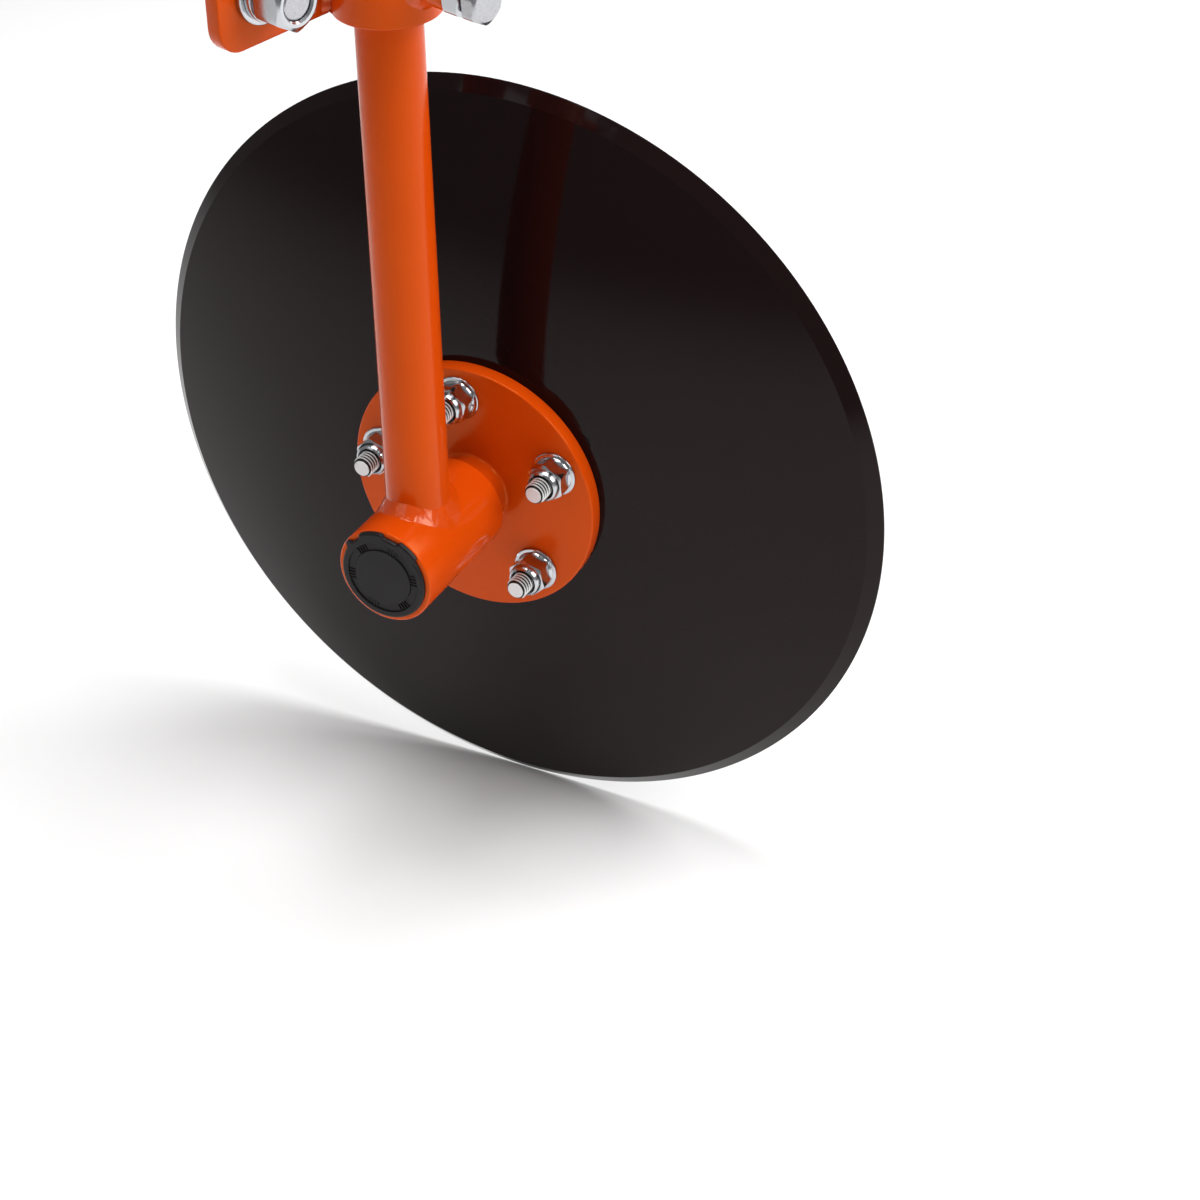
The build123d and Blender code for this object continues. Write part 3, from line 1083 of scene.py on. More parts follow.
@dataclass
class Hexware:
    """Shapes of bolts and nuts, about Z with their seat at zero, in millimetres.

    Attributes:
        points: Points in each ring.
        face: Radius of a flat end face, as a share of the width across flats.
        mouth: Depth of the chamfer at a bore.
    """

    points: int = 72
    face: float = 0.475
    mouth: float = 0.9

    def bevel(self, flats: float, top: float, up: bool) -> Callable[[float], float]:
        """Height of a hexagon's chamfered edge for a radius."""
        slope = math.tan(math.radians(30)) * (-1 if up else 1)
        return lambda radius: top + slope * max(radius - flats * self.face, 0.0)

    def prism(self, flats: float, height: float) -> list[Ring]:
        """Rings of a hexagon's sides, chamfered at both ends."""
        low, high = self.bevel(flats, 0, False), self.bevel(flats, height, True)
        return [hexagon(flats, self.points, low), hexagon(flats, self.points, high)]

    def nut(self, flats: float, height: float, bore: float) -> list[Ring]:
        """Rings of a plain nut with both faces chamfered.

        Args:
            flats: Width across flats.
            height: Its height.
            bore: Radius of its bore.

        Returns:
            The rings, closed on themselves.
        """
        face = flats * self.face
        wide = bore + self.mouth
        below = [(wide, 0), (face, 0)]
        above = [(face, height), (wide, height), (bore, height - self.mouth), (bore, self.mouth), (wide, 0)]
        return lathe(below, self.points) + self.prism(flats, height) + lathe(above, self.points)

    def lock_nut(
        self, flats: float, hex_height: float, height: float, bore: float, mouth: float, depth: float
    ) -> list[Ring]:
        """Rings of a lock nut with a rolled collar that holds a ring.

        Args:
            flats: Width across flats.
            hex_height: Height of the hexagon.
            height: Height with the collar.
            bore: Radius of its bore.
            mouth: Radius of the collar's opening.
            depth: Depth of the seat for the ring.

        Returns:
            The rings, closed on themselves.
        """
        face = flats * self.face
        wall = face - 0.1
        wide = bore + self.mouth
        below = [(wide, 0), (face, 0)]
        above = [
            (face, hex_height),
            (wall, hex_height + 0.5),
            (wall - 0.1, height - 1.9),
            (wall - 0.6, height - 0.7),
            (wall - 1.4, height - 0.1),
            (mouth + 0.5, height),
            (mouth, height - 0.4),
            (mouth, height - depth),
            (bore, height - depth),
            (bore, self.mouth),
            (wide, 0),
        ]
        return lathe(below, self.points) + self.prism(flats, hex_height) + lathe(above, self.points)

    def head(self, flats: float, height: float) -> list[Ring]:
        """Rings of a bolt head: a washer face below and a chamfered top.

        Args:
            flats: Width across flats.
            height: Its height.

        Returns:
            The rings, from pole to pole.
        """
        face = flats * self.face
        sides = [
            hexagon(flats, self.points, lambda radius: 0.42),
            hexagon(flats, self.points, self.bevel(flats, height, True)),
        ]
        below = [(0, 0), (face, 0), (face, 0.4)]
        return lathe(below, self.points) + sides + lathe([(face, height), (0, height)], self.points)

    def rod(self, radius: float, low: float, high: float, chamfer: float) -> list[Ring]:
        """Rings of a round rod with a chamfered top.

        Args:
            radius: Its radius.
            low: Height of its lower end.
            high: Height of its top.
            chamfer: Width of the chamfer.

        Returns:
            The rings, from pole to pole.
        """
        profile = [(0, low), (radius, low), (radius, high - chamfer), (radius - chamfer, high), (0, high)]
        return lathe(profile, self.points)


@dataclass
class DiscRotor(SubAssembly):
    """The turning part: blade, flange, spindle and the disc bolts with their nuts."""

    body: ClassVar[Body] = Body.ROTOR
    blade_r: float = 203.2
    blade_t: float = 4.0
    dish_depth: float = 31.0
    flat_r: float = 71.0
    bevel_w: float = 6.5
    edge_t: float = 1.2
    flange_r: float = 67.0
    flange_t: float = 8.0
    boss_r: float = 18.8
    boss_h: float = 16.5
    spindle_r: float = 12.5
    bolts: int = 5
    bolt_circle_r: float = 51.3
    bolt_phase: float = 24.4
    bolt_r: float = 5.5
    bolt_tip: float = 22.3
    end_face_r: float = 4.2
    thread_pitch: float = 2.0
    thread_start: float = 1.2
    head_r: float = 11.0
    head_h: float = 5.5
    head_rim: float = 1.2
    nut_flange_r: float = 11.7
    nut_af: float = 18.0
    nut_hex_h: float = 11.0
    nut_h: float = 14.5
    nylon_t: float = 2.9
    ware: Hexware = field(default_factory=Hexware)

    def build(self) -> None:
        """Builds every piece of the rotor."""
        self.blade()
        self.flange()
        self.disc_bolts()
        self.lock_nuts()
        self.recolour("spindle", Coat.STEEL)
        self.recolour("spindle_nut", Coat.NUT)

    def blade(self) -> None:
        """The dished blade with its bevelled edge."""
        ball = (self.blade_r**2 - self.flat_r**2) / (2 * self.dish_depth)
        for _ in range(30):
            deep = math.sqrt(ball**2 - self.flat_r**2) - math.sqrt(ball**2 - self.blade_r**2)
            ball *= deep / self.dish_depth
        front = -self.flange_t
        middle = front - math.sqrt(ball**2 - self.flat_r**2)
        inner = ball - self.blade_t
        back = front - self.blade_t
        inner_flat = math.sqrt(inner**2 - (back - middle) ** 2)
        bevel_r = self.blade_r - self.bevel_w

        def arc(start: float, end: float, size: float, steps: int = 36) -> list[Spot]:
            """Points of a dome between two radii."""
            spots = [start + (end - start) * i / steps for i in range(steps + 1)]
            return [(r, middle + math.sqrt(size**2 - r * r)) for r in spots]

        rim_r = self.blade_r
        rim_back = middle + math.sqrt(inner**2 - rim_r**2)
        rim_front = rim_back + self.edge_t
        profile = [(0.0, front), (30.0, front), (self.flat_r - 6, front)]
        profile += arc(self.flat_r + 1, bevel_r, ball)
        profile += [(rim_r - 0.25, rim_front), (rim_r, rim_front - 0.3), (rim_r, rim_back + 0.3)]
        profile += arc(rim_r - 0.3, inner_flat + 1, inner)
        profile += [(inner_flat - 6, back), (30.0, back), (0.0, back)]
        self.dress(turned("blade", profile, self.layout.axle, 240, 8.0), Coat.BLACK, "disc_blade")

    def flange(self) -> None:
        """The round flange and its raised ring."""
        low = -self.flange_t
        corners = [
            (self.spindle_r, low),
            (self.flange_r, low),
            (self.flange_r, 0.0),
            (self.boss_r, 0.0),
            (self.boss_r, self.boss_h),
            (self.spindle_r, self.boss_h),
        ]
        profile = rounded(corners, [0, 0.4, 0.9, 1.6, 1.2, 0])
        self.dress(turned("flange", profile, self.layout.axle, 160, ROUND_DEG), Coat.ORANGE, "hub_flange")

    def on_circle(
        self,
        seed: bpy.types.Object,
        coat: Coat,
        *nodes: str,
        spin: float = 0.0,
        draw: int = 0,
        sharp_deg: float = CRISP_DEG,
    ) -> None:
        """Sets copies of a piece on the bolt circle and dresses them.

        Args:
            seed: One piece about Z, in millimetres; it is used up.
            coat: Its finish.
            nodes: The CAD nodes that the copies replace.
            spin: The most that a copy is turned about itself, in radians.
            draw: Seed of those turns.
            sharp_deg: Edges sharper than this stay crisp.
        """
        values = {
            "Count": self.bolts,
            "Radius": self.bolt_circle_r,
            "Phase": math.radians(self.bolt_phase),
            "Spin": spin,
            "Seed": draw,
            "Material": self.paints[coat],
        }
        self.dress(self.trees.circle.bake(seed, values, self.layout.axle, sharp_deg), coat, *nodes)

    def disc_bolts(self) -> None:
        """The disc bolts: near-black cores as painted shade in the grooves, bright ridges, end faces and
        smooth heads.
        """
        n = self.ware.points
        low = -self.flange_t - self.blade_t
        top = self.bolt_tip
        head_r, rim, end_r = self.head_r, self.head_rim, self.end_face_r
        dome = [(0.0, low - self.head_h)]
        for step in range(1, 9):
            swing = math.radians(90) * step / 8
            dome.append((head_r * math.sin(swing), low - rim - (self.head_h - rim) * math.cos(swing)))
        dome += [(head_r - 0.15, low - 0.5), (head_r - 0.4, low), (0.0, low)]
        core = self.bolt_r - THREAD_CORE * self.thread_pitch
        shade = top - 0.15
        seat = top - 1.0
        rod = [(0.0, low), (core, low), (core, top - 0.9), (end_r + 0.15, shade), (0.0, shade)]
        tip = [(0.0, seat), (end_r - 0.15, seat), (end_r, top - 0.2), (end_r - 0.1, top), (0.0, top)]
        # painted shade: the dark core shows between the ridges as the shade in the grooves
        self.on_circle(skin("disc_bolt_roots", [lathe(rod, n)], AS_DRAWN), Coat.ROOT)
        seed = skin("disc_bolt_set", [lathe(dome, n), lathe(tip, n)], AS_DRAWN)
        length = top - self.thread_start - 1.0
        seed = self.threaded(seed, self.bolt_r, self.thread_pitch, self.thread_start, length)
        self.on_circle(seed, Coat.BOLT, "disc_bolts", spin=6.28, draw=3)

    def lock_nuts(self) -> None:
        """The flanged lock nuts and the nylon rings in them."""
        n = self.ware.points
        bore = self.bolt_r + PLAY
        mouth = self.nut_af / 2 - 2.6
        body = self.ware.lock_nut(self.nut_af, self.nut_hex_h, self.nut_h, bore, mouth, 3.0)
        edge = self.nut_flange_r
        skirt = [
            (bore, 0),
            (edge - 0.5, 0),
            (edge - 0.1, 0.3),
            (edge, 0.75),
            (edge - 0.12, 1.2),
            (edge - 0.5, 1.5),
            (edge - 1.0, 1.6),
            (edge - 1.7, 1.75),
            (self.nut_af * 0.535, 2.6),
            (self.nut_af * 0.5, 3.3),
            (bore, 3.4),
            (bore, 0),
        ]
        seed = skin("disc_nut_set", [body, lathe(skirt, n)], AS_DRAWN)
        self.on_circle(seed, Coat.NUT, "disc_nuts", spin=1.05, draw=11, sharp_deg=HEX_DEG)
        low, top = self.nut_h - self.nylon_t, self.nut_h
        ring = [
            (bore, low),
            (mouth - 0.1, low),
            (mouth - 0.1, top - 0.9),
            (mouth - 0.5, top - 0.6),
            (bore, top - 0.7),
            (bore, low),
        ]
        self.on_circle(skin("disc_nut_nylon", [lathe(ring, n)], AS_DRAWN), Coat.NYLON, "disc_nut_inserts")


@dataclass
class HubAndShank(SubAssembly):
    """The round shank with the hub tube welded across its foot."""

    body: ClassVar[Body] = Body.SHANK
    shank_r: float = 15.4
    shank_top: float = 100.0
    shank_sunk: float = 6.0
    hub_r: float = 25.0
    hub_wall: float = 4.0
    hub_start: float = 14.0
    hub_end: float = 86.5
    weld_leg: float = 5.5
    cap_lip_r: float = 22.4
    cap_lip_t: float = 2.2
    cap_plug: float = 9.0
    cap_ring: tuple[float, float] = (0.855, 0.665)
    cap_points: int = 180
    cap_tabs: tuple[Spot, ...] = ((38.0, 66.0), (87.0, 121.0), (138.0, 146.0))
    cap_tab_r: float = 2.1

    def build(self) -> None:
        """Builds every piece of the hub and shank."""
        self.shank()
        self.hub()
        self.weld()
        self.cap()
        self.recolour("hub_bearings", Coat.STEEL)

    def shank(self) -> None:
        """The upright round bar."""
        foot = self.layout.hub_z + self.hub_r - self.shank_sunk
        top = self.shank_top
        corners = [(0.0, foot), (self.shank_r, foot), (self.shank_r, top), (0.0, top)]
        profile = rounded(corners, [0, 0, 2.2, 0])
        self.dress(turned("shank_bar", profile, self.layout.shank, 128, ROUND_DEG), Coat.ORANGE, "shank")

    def hub(self) -> None:
        """The tube that holds the bearings."""
        bore, outer = self.hub_r - self.hub_wall, self.hub_r
        low, high = self.hub_start, self.hub_end
        profile = rounded([(bore, low), (outer, low), (outer, high), (bore, high)], [0.5, 1.0, 1.0, 0.5])
        self.dress(turned("hub_barrel", profile, self.layout.axle, 128, ROUND_DEG), Coat.ORANGE, "hub_tube")

    def weld(self) -> None:
        """The painted fillet round the foot of the shank."""
        rings = fillet(self.shank_r, self.hub_r, self.weld_leg, self.layout.shank_from_flange)
        seed = skin("foot_weld", [rings], AS_DRAWN, 60.0)
        self.welded(seed, self.layout.axle, Lumps(0.55, 0.40, 2.0), 70.0, "shank_weld")

    def cap(self) -> None:
        """The push-in end cap with its tabs and sunk ring."""
        low = self.hub_end
        top = low + self.cap_lip_t
        bore = self.hub_r - self.hub_wall - PLAY
        lip = self.cap_lip_r
        outer, inner = (lip * share for share in self.cap_ring)
        end = low - self.cap_plug
        plug = [(0.0, low - 0.4), (bore - 2, low - 0.4), (bore - 2, end), (bore, end), (bore, low)]
        rim = [(lip, low), (lip, top - 1.2), (lip - 0.3, top - 0.5), (lip - 1.0, top - 0.05)]
        front = [
            (outer, top),
            (outer - 0.25, top - 0.2),
            (outer - 0.35, top - 0.8),
            (inner + 0.35, top - 0.8),
            (inner + 0.2, top - 0.2),
            (inner, top),
            (inner * 0.5, top + 0.02),
            (0.0, top + 0.02),
        ]
        n = self.cap_points
        rings = lathe(plug, n) + [self.tabbed(ring) for ring in lathe(rim, n)] + lathe(front, n)
        face = skin("end_cap", [rings], self.layout.axle, 28.0)
        self.cap_ribs(outer, inner, top)
        self.dress(face, Coat.CAP, "hub_end_cap")

    def cap_ribs(self, outer: float, inner: float, top: float) -> None:
        """The groups of small ribs in the cap's sunk ring.

        Args:
            outer: Outer radius of the sunk ring.
            inner: Its inner radius.
            top: Height of the cap's face.
        """
        levels = [(0.44, 0.22, top - 0.9), (0.44, 0.22, top - 0.35), (0.40, 0.12, top - 0.2)]
        rib: list[Ring] = []
        for share, half, height in levels:
            reach = (outer - inner) * share
            rib.append([Vector((x * reach, y * half, height)) for x, y in SQUARE])
        seed = skin("cap_ribs", [capped(rib)], AS_DRAWN)
        values = {"Places": 66, "Radius": (outer + inner) / 2, "Group": 11, "Filled": 4}
        values["Material"] = self.paints[Coat.CAP]
        self.dress(self.trees.ribs.bake(seed, values, self.layout.axle, 28.0), Coat.CAP)

    def tabbed(self, ring: Ring) -> Ring:
        """A ring of the cap's lip with its tabs pressed out over the tube's end.

        Args:
            ring: The plain ring.

        Returns:
            The ring with the tabs.
        """
        step = 360 / len(ring)
        grown = [1 + self.lip_tab(i * step) / self.cap_lip_r for i in range(len(ring))]
        return [Vector((point.x * grow, point.y * grow, point.z)) for point, grow in zip(ring, grown)]

    def lip_tab(self, degrees: float) -> float:
        """How far the cap's lip is pressed out at an angle.

        Args:
            degrees: Angle round the cap, from the side toward the top.

        Returns:
            The extra radius.
        """
        grown = 0.0
        for start, end in self.cap_tabs:
            inside = min(degrees - start, end - degrees)
            grown = max(grown, min(max(inside / 3.0 + 0.5, 0.0), 1.0))
        return grown * self.cap_tab_r


@dataclass(frozen=True)
class Spread:
    """A grid of places for copies of one piece.

    Attributes:
        place: The frame that the grid lies in.
        across: Its width.
        up: Its height.
        columns: Copies across.
        rows: Copies up.
        rise: Height of its middle.
    """

    place: Matrix
    across: float
    up: float
    columns: int
    rows: int
    rise: float = 0.0


@dataclass
class ToolbarClamp(SubAssembly):
    """The bracket: two plates on bolts, the collar for the shank and its set bolts."""

    body: ClassVar[Body] = Body.BRACKET
    plate_w: float = 164.0
    plate_h: float = 125.0
    rear_h: float = 110.0
    plate_t: float = 8.0
    plate_corner: float = 12.0
    plate_edge: float = 0.8
    rear_y: float = 60.5
    bolt_x: float = 57.0
    bolt_z: float = 38.5
    bolt_r: float = 8.0
    hole_r: float = 8.75
    flats: float = 24.0
    head_h: float = 10.0
    washer_r: float = 15.0
    washer_t: float = 3.0
    spring_r: float = 13.0
    spring_t: float = 4.0
    spring_gap: float = 8.0
    nut_h: float = 16.0
    thread_pitch: float = 2.0
    thread_run: float = 22.0
    collar_r: float = 25.0
    collar_bore: float = 15.48
    collar_h: float = 100.0
    collar_inset: float = 1.0
    slot_half: float = 18.6
    slot_gap: float = 0.3
    set_inset: float = 18.6
    set_r: float = 6.0
    set_flats: float = 18.0
    set_head_h: float = 7.5
    set_pitch: float = 1.5
    set_end: float = 17.0
    boss_r: float = 9.0
    boss_root: float = 18.0
    boss_top: float = 41.4
    boss_leg: float = 3.6
    jam_h: float = 10.0
    jam_gap: float = 2.0
    weld_leg: float = 5.0
    seam_steps: int = 110
    ware: Hexware = field(default_factory=lambda: Hexware(face=0.44))

    def build(self) -> None:
        """Builds every piece of the clamp."""
        self.plates()
        self.collar()
        self.seams()
        self.clamp_hardware()
        self.set_hardware()

    @property
    def collar_low(self) -> float:
        """Height of the collar's lower end."""
        return -self.plate_h / 2 + self.collar_inset

    def plates(self) -> None:
        """The slotted front plate and the plain rear plate."""
        columns, rows = (-self.bolt_x, self.bolt_x), (-self.bolt_z, self.bolt_z)
        holes = [(x, z, self.hole_r) for x in columns for z in rows]
        x, y = self.plate_w / 2, self.plate_h / 2
        half, corner, edge = self.slot_half, self.plate_corner, self.plate_edge
        top = self.collar_low + self.collar_h + self.slot_gap
        corners = [(-x, -y), (-half, -y), (-half, top), (half, top), (half, -y), (x, -y), (x, y), (-x, y)]
        front = rounded(corners, [corner, 0.6, 1.5, 1.5, 0.6, corner, corner, corner], 8)
        piece = plate("front_plate", front, holes, 0.0, self.plate_t, edge, self.layout.clamp)
        self.dress(piece, Coat.ORANGE, "clamp_plate")
        high = -self.rear_y
        rear = rounded([(i * x, j * self.rear_h / 2) for i, j in SQUARE], [corner] * 4, 8)
        piece = plate("rear_plate", rear, holes, high - self.plate_t, high, edge, self.layout.clamp)
        self.dress(piece, Coat.ORANGE, "rear_clamp_plate")

    def collar(self) -> None:
        """The collar tube that the shank stands in."""
        low, high = self.collar_low, self.collar_low + self.collar_h
        bore, outer = self.collar_bore, self.collar_r
        profile = rounded([(bore, low), (outer, low), (outer, high), (bore, high)], [0.8, 1.0, 1.0, 0.8])
        piece = turned("collar_tube", profile, self.layout.shank, 128, ROUND_DEG)
        self.dress(piece, Coat.ORANGE, "shank_collar")

    def seams(self) -> None:
        """The two beads that join the collar to the plate."""
        face = -self.layout.shank_y - self.plate_t
        foot = math.sqrt(self.collar_r**2 - face**2)
        shells: list[list[Ring]] = []
        for side in (-1, 1):
            rings: list[Ring] = []
            for step in range(self.seam_steps + 1):
                height = self.collar_low + 1.0 + (self.collar_h - 2.0) * step / self.seam_steps
                leg = self.weld_leg * (1 + 0.06 * math.sin(step * 0.9))
                top = math.sqrt(self.collar_r**2 - (face - leg) ** 2)
                section = [
                    (foot - 1.5, face + 0.8),
                    (foot + leg, face + 0.8),
                    (foot + leg, face - 0.1),
                    (foot + leg * 0.62, face - leg * 0.24),
                    (foot + leg * 0.34, face - leg * 0.55),
                    (top + 0.2, face - leg),
                    (top - 1.5, face - leg + 0.3),
                ]
                rings.append([Vector((side * x, y, height)) for x, y in section])
            shells.append(capped(rings))
        seed = skin("plate_seams", shells, AS_DRAWN, 60.0)
        self.welded(seed, self.layout.shank, Lumps(0.7, 0.3, 5.0), 60.0, "collar_welds")

    def on_grid(
        self,
        seed: bpy.types.Object,
        spread: Spread,
        coat: Coat,
        node: str,
        spin: float = 0.0,
        draw: int = 0,
        sharp_deg: float = ROUND_DEG,
    ) -> None:
        """Sets copies of a piece on a grid and dresses them.

        Args:
            seed: One piece about Z, in millimetres; it is used up.
            spread: Where the copies go.
            coat: Its finish.
            node: The CAD node that the copies replace.
            spin: The most that a copy is turned about itself, in radians.
            draw: Seed of those turns.
            sharp_deg: Edges sharper than this stay crisp.
        """
        values = {
            "Across": spread.across,
            "Up": spread.up,
            "Columns": spread.columns,
            "Rows": spread.rows,
            "Rise": spread.rise,
            "Spin": spin,
            "Seed": draw,
            "Material": self.paints[coat],
        }
        self.dress(self.trees.grid.bake(seed, values, spread.place, sharp_deg), coat, node)

    def clamp_hardware(self) -> None:
        """The clamp bolts with washers, spring washers and nuts."""
        n = self.ware.points
        grid = Spread(self.layout.clamp, 2 * self.bolt_x, 2 * self.bolt_z, 2, 2)
        top = self.plate_t + self.washer_t
        seat = top + self.spring_t
        bolt = self.clamp_bolt(seat)
        self.on_grid(bolt, grid, Coat.SATIN, "clamp_bolts", spin=1.0, draw=5, sharp_deg=HEX_DEG)
        bore, outer, low = self.hole_r, self.washer_r, self.plate_t
        profile = rounded([(bore, low), (outer, low), (outer, top), (bore, top)], [0.3, 0.5, 0.7, 0.4])
        washer = turned("washer_set", profile, AS_DRAWN, n, ROUND_DEG)
        self.on_grid(washer, grid, Coat.NUT, "flat_washers")
        self.on_grid(self.spring_washer(top), grid, Coat.NUT, "spring_washers", spin=2.4, draw=8)
        rings = raised(self.ware.nut(self.flats, self.nut_h, self.bolt_r + PLAY), seat)
        nut = skin("clamp_nut_set", [rings], AS_DRAWN)
        self.on_grid(nut, grid, Coat.NUT, "clamp_nuts", spin=1.05, draw=39, sharp_deg=HEX_DEG)

    def clamp_bolt(self, seat: float) -> bpy.types.Object:
        """One clamp bolt with its thread.

        Args:
            seat: Height of the nut's seat.

        Returns:
            The bolt about Z, in millimetres.
        """
        back = -self.rear_y - self.plate_t
        plain_end = seat - self.thread_run
        tip_z = seat + self.nut_h - 0.8
        radius = self.bolt_r
        core = radius - THREAD_CORE * self.thread_pitch
        rings = self.ware.head(self.flats, self.head_h)
        head = [[Vector((p.x, p.y, back - p.z)) for p in ring] for ring in rings]
        rod = self.ware.rod(radius, back, plain_end, 0.8)
        stud = self.ware.rod(core, plain_end - 2.0, tip_z - 1.0, 0.2)
        tip = [
            (0.0, tip_z - 2.2),
            (core, tip_z - 2.2),
            (radius - 0.05, tip_z - 1.6),
            (radius - 0.15, tip_z - 1.0),
            (radius - 0.5, tip_z - 0.4),
            (radius - 1.2, tip_z),
            (0.0, tip_z),
        ]
        seed = skin("clamp_bolt_set", [head, rod, stud, lathe(tip, self.ware.points)], AS_DRAWN)
        length = self.nut_h + self.thread_run - 1.6
        return self.threaded(seed, radius, self.thread_pitch, plain_end - 1.0, length)

    def spring_washer(self, low: float) -> bpy.types.Object:
        """One split spring washer, its ends a little apart.

        Args:
            low: Height of its seat.

        Returns:
            The washer about Z, in millimetres.
        """
        inner, outer = self.hole_r, self.spring_r
        steps, climb = 72, 0.5
        thick = self.spring_t - climb
        first, sweep = math.radians(self.spring_gap), math.radians(360 - 2 * self.spring_gap)
        rings: list[Ring] = []
        for i in range(steps + 1):
            angle = first + i / steps * sweep
            base = low + (i / steps - 0.5) * climb + climb / 2
            corners = [(inner, base), (outer, base), (outer, base + thick), (inner, base + thick)]
            section = rounded(corners, [0.4] * 4, 2)
            rings.append([Vector((r * math.cos(angle), r * math.sin(angle), h)) for r, h in section])
        return skin("spring_washer_set", [capped(rings)], AS_DRAWN, ROUND_DEG)

    def set_hardware(self) -> None:
        """The welded bosses, the set bolts and their jam nuts."""
        n = self.ware.points
        low = self.collar_low + self.set_inset
        high = self.collar_low + self.collar_h - self.set_inset
        row = Spread(self.layout.setting, 0.0, high - low, 1, 2, (low + high) / 2)
        bore = self.set_r + 2 * PLAY
        root, top, outer = self.boss_root, self.boss_top, self.boss_r
        profile = rounded([(bore, root), (outer, root), (outer, top), (bore, top)], [0.0, 0.0, 1.2, 0.6])
        boss = turned("set_boss_pair", profile, AS_DRAWN, n, ROUND_DEG)
        self.on_grid(boss, row, Coat.ORANGE, "set_bosses")
        shells = [fillet(outer, self.collar_r, self.boss_leg, -height, 128) for height in (low, high)]
        lying = self.layout.setting @ Matrix.Rotation(math.radians(90), 4, "X")
        self.welded(skin("boss_beads", shells, AS_DRAWN, 60.0), lying, Lumps(0.4, 0.45, 7.0), 70.0)
        rings = raised(self.ware.nut(self.set_flats, self.jam_h, bore), top)
        jam = skin("jam_nut_pair", [rings], AS_DRAWN)
        self.on_grid(jam, row, Coat.NUT, "jam_nuts", spin=0.05, draw=4, sharp_deg=HEX_DEG)
        seat = top + self.jam_h + self.jam_gap
        head = raised(self.ware.head(self.set_flats, self.set_head_h), seat)
        rod = self.ware.rod(self.set_r - THREAD_CORE * self.set_pitch, self.set_end, seat, 0.5)
        bolt = skin("set_bolt_pair", [head, rod], AS_DRAWN)
        length = seat - self.set_end - 2.0
        bolt = self.threaded(bolt, self.set_r, self.set_pitch, self.set_end + 1.0, length)
        self.on_grid(bolt, row, Coat.SATIN, "set_bolts", spin=0.05, draw=9, sharp_deg=HEX_DEG)


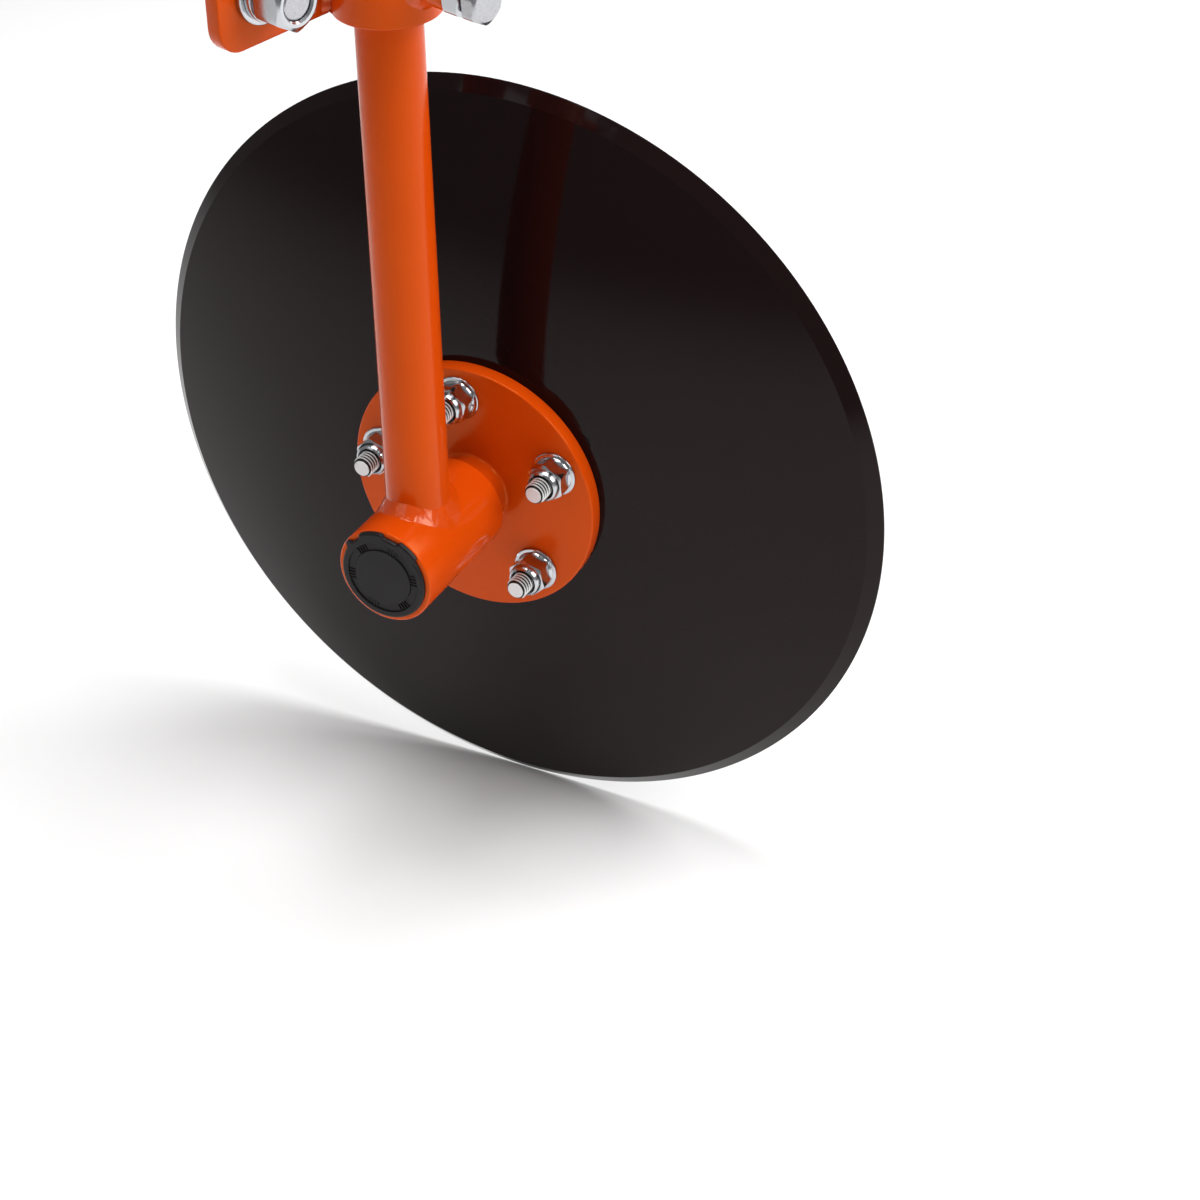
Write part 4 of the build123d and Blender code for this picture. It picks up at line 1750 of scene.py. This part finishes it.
@dataclass
class Studio:
    """Floor, light and the camera at the photograph's place."""

    floor_z: float = -0.5434
    floor_size: float = 14.0
    floor_tone: float = 0.90
    surround: float = 0.28
    pool_blend: float = 0.18
    camera_at: tuple[float, float, float] = (-0.89025, -0.95370, 0.50654)
    camera_aim: tuple[float, float, float] = (0.06807, -0.07999, -0.38656)
    camera_roll: float = -1.33
    focal_px: float = 3167.7

    def build(self) -> None:
        """Sets up the studio."""
        self.floor()
        self.world()
        self.pool("overhead", at=(0.10, -0.05, 2.7), reach=1.95, lamp_r=0.95, power=322.0)
        blade = (0.0, -0.05, -0.3)
        self.softbox("key", at=(0.7, -2.0, 1.3), aim=blade, size=(1.3, 1.3), power=36.0)
        self.softbox("fill", at=(-2.2, 0.6, 1.9), aim=blade, size=(1.6, 1.6), power=8.0)
        self.softbox("side", at=(1.5, -0.9, 1.1), aim=(0.0, -0.03, -0.15), size=(0.9, 0.9), power=13.0)
        self.camera()

    def floor(self) -> None:
        """The plain pale floor."""
        half = self.floor_size / 2
        mesh = bpy.data.meshes.new("floor")
        mesh.from_pydata([(x * half, y * half, self.floor_z) for x, y in SQUARE], [], [(0, 1, 2, 3)])
        ground = bpy.data.objects.new("floor", mesh)
        bpy.context.scene.collection.objects.link(ground)
        material = bpy.data.materials.new("pale_floor")
        material.use_nodes = True
        shader = material.node_tree.nodes["Principled BSDF"]
        shader.inputs["Base Color"].default_value = (*[self.floor_tone] * 3, 1)
        shader.inputs["Roughness"].default_value = 0.9
        shader.inputs["Specular IOR Level"].default_value = 0.1
        mesh.materials.append(material)

    def world(self) -> None:
        """An even, dim surround."""
        world = bpy.data.worlds.new("surround")
        world.use_nodes = True
        back = world.node_tree.nodes["Background"]
        back.inputs["Color"].default_value = (1.0, 1.0, 1.0, 1)
        back.inputs["Strength"].default_value = self.surround
        bpy.context.scene.world = world
        bpy.context.scene.view_settings.view_transform = "Standard"

    def pool(self, name: str, at: Sequence[float], reach: float, lamp_r: float, power: float) -> None:
        """Adds an overhead lamp that lights a round pool of floor.

        Args:
            name: The light's name.
            at: Where it hangs, pointing straight down.
            reach: Radius of the pool on the floor.
            lamp_r: Radius of the lamp, which softens the shadows.
            power: Its power in watts.
        """
        lamp = bpy.data.lights.new(name, "SPOT")
        lamp.energy = power
        lamp.shadow_soft_size = lamp_r
        lamp.spot_size = 2 * math.atan(reach / (at[2] - self.floor_z))
        lamp.spot_blend = self.pool_blend
        holder = bpy.data.objects.new(name, lamp)
        holder.location = at
        bpy.context.scene.collection.objects.link(holder)

    def softbox(
        self, name: str, at: Sequence[float], aim: Sequence[float], size: tuple[float, float], power: float
    ) -> None:
        """Adds one soft light.

        Args:
            name: The light's name.
            at: Where it stands.
            aim: What it points at.
            size: Its width and height.
            power: Its power in watts.
        """
        lamp = bpy.data.lights.new(name, "AREA")
        lamp.shape = "RECTANGLE"
        lamp.size, lamp.size_y = size
        lamp.energy = power
        holder = bpy.data.objects.new(name, lamp)
        holder.location = at
        holder.rotation_euler = (Vector(aim) - Vector(at)).to_track_quat("-Z", "Y").to_euler()
        bpy.context.scene.collection.objects.link(holder)

    def camera(self) -> None:
        """The camera, fitted to the photograph."""
        lens = bpy.data.cameras.new("photo_camera")
        lens.sensor_width = SENSOR_MM
        lens.sensor_fit = "HORIZONTAL"
        lens.lens = SENSOR_MM * self.focal_px / IMAGE_PX
        eye = bpy.data.objects.new("photo_camera", lens)
        look = Vector(self.camera_aim) - Vector(self.camera_at)
        turn = look.to_track_quat("-Z", "Y").to_matrix().to_4x4()
        roll = Matrix.Rotation(math.radians(self.camera_roll), 4, "Z")
        eye.matrix_world = Matrix.Translation(self.camera_at) @ turn @ roll
        bpy.context.scene.collection.objects.link(eye)
        bpy.context.scene.camera = eye


def main() -> None:
    """Builds the unit and its studio."""
    logging.basicConfig(level=logging.INFO, format="%(name)s: %(message)s")
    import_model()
    paints = Paints()
    trees = Trees()
    layout = Layout()
    DiscRotor(layout, paints, trees).build()
    HubAndShank(layout, paints, trees).build()
    ToolbarClamp(layout, paints, trees).build()
    Studio().build()


if __name__ == "__main__":
    main()
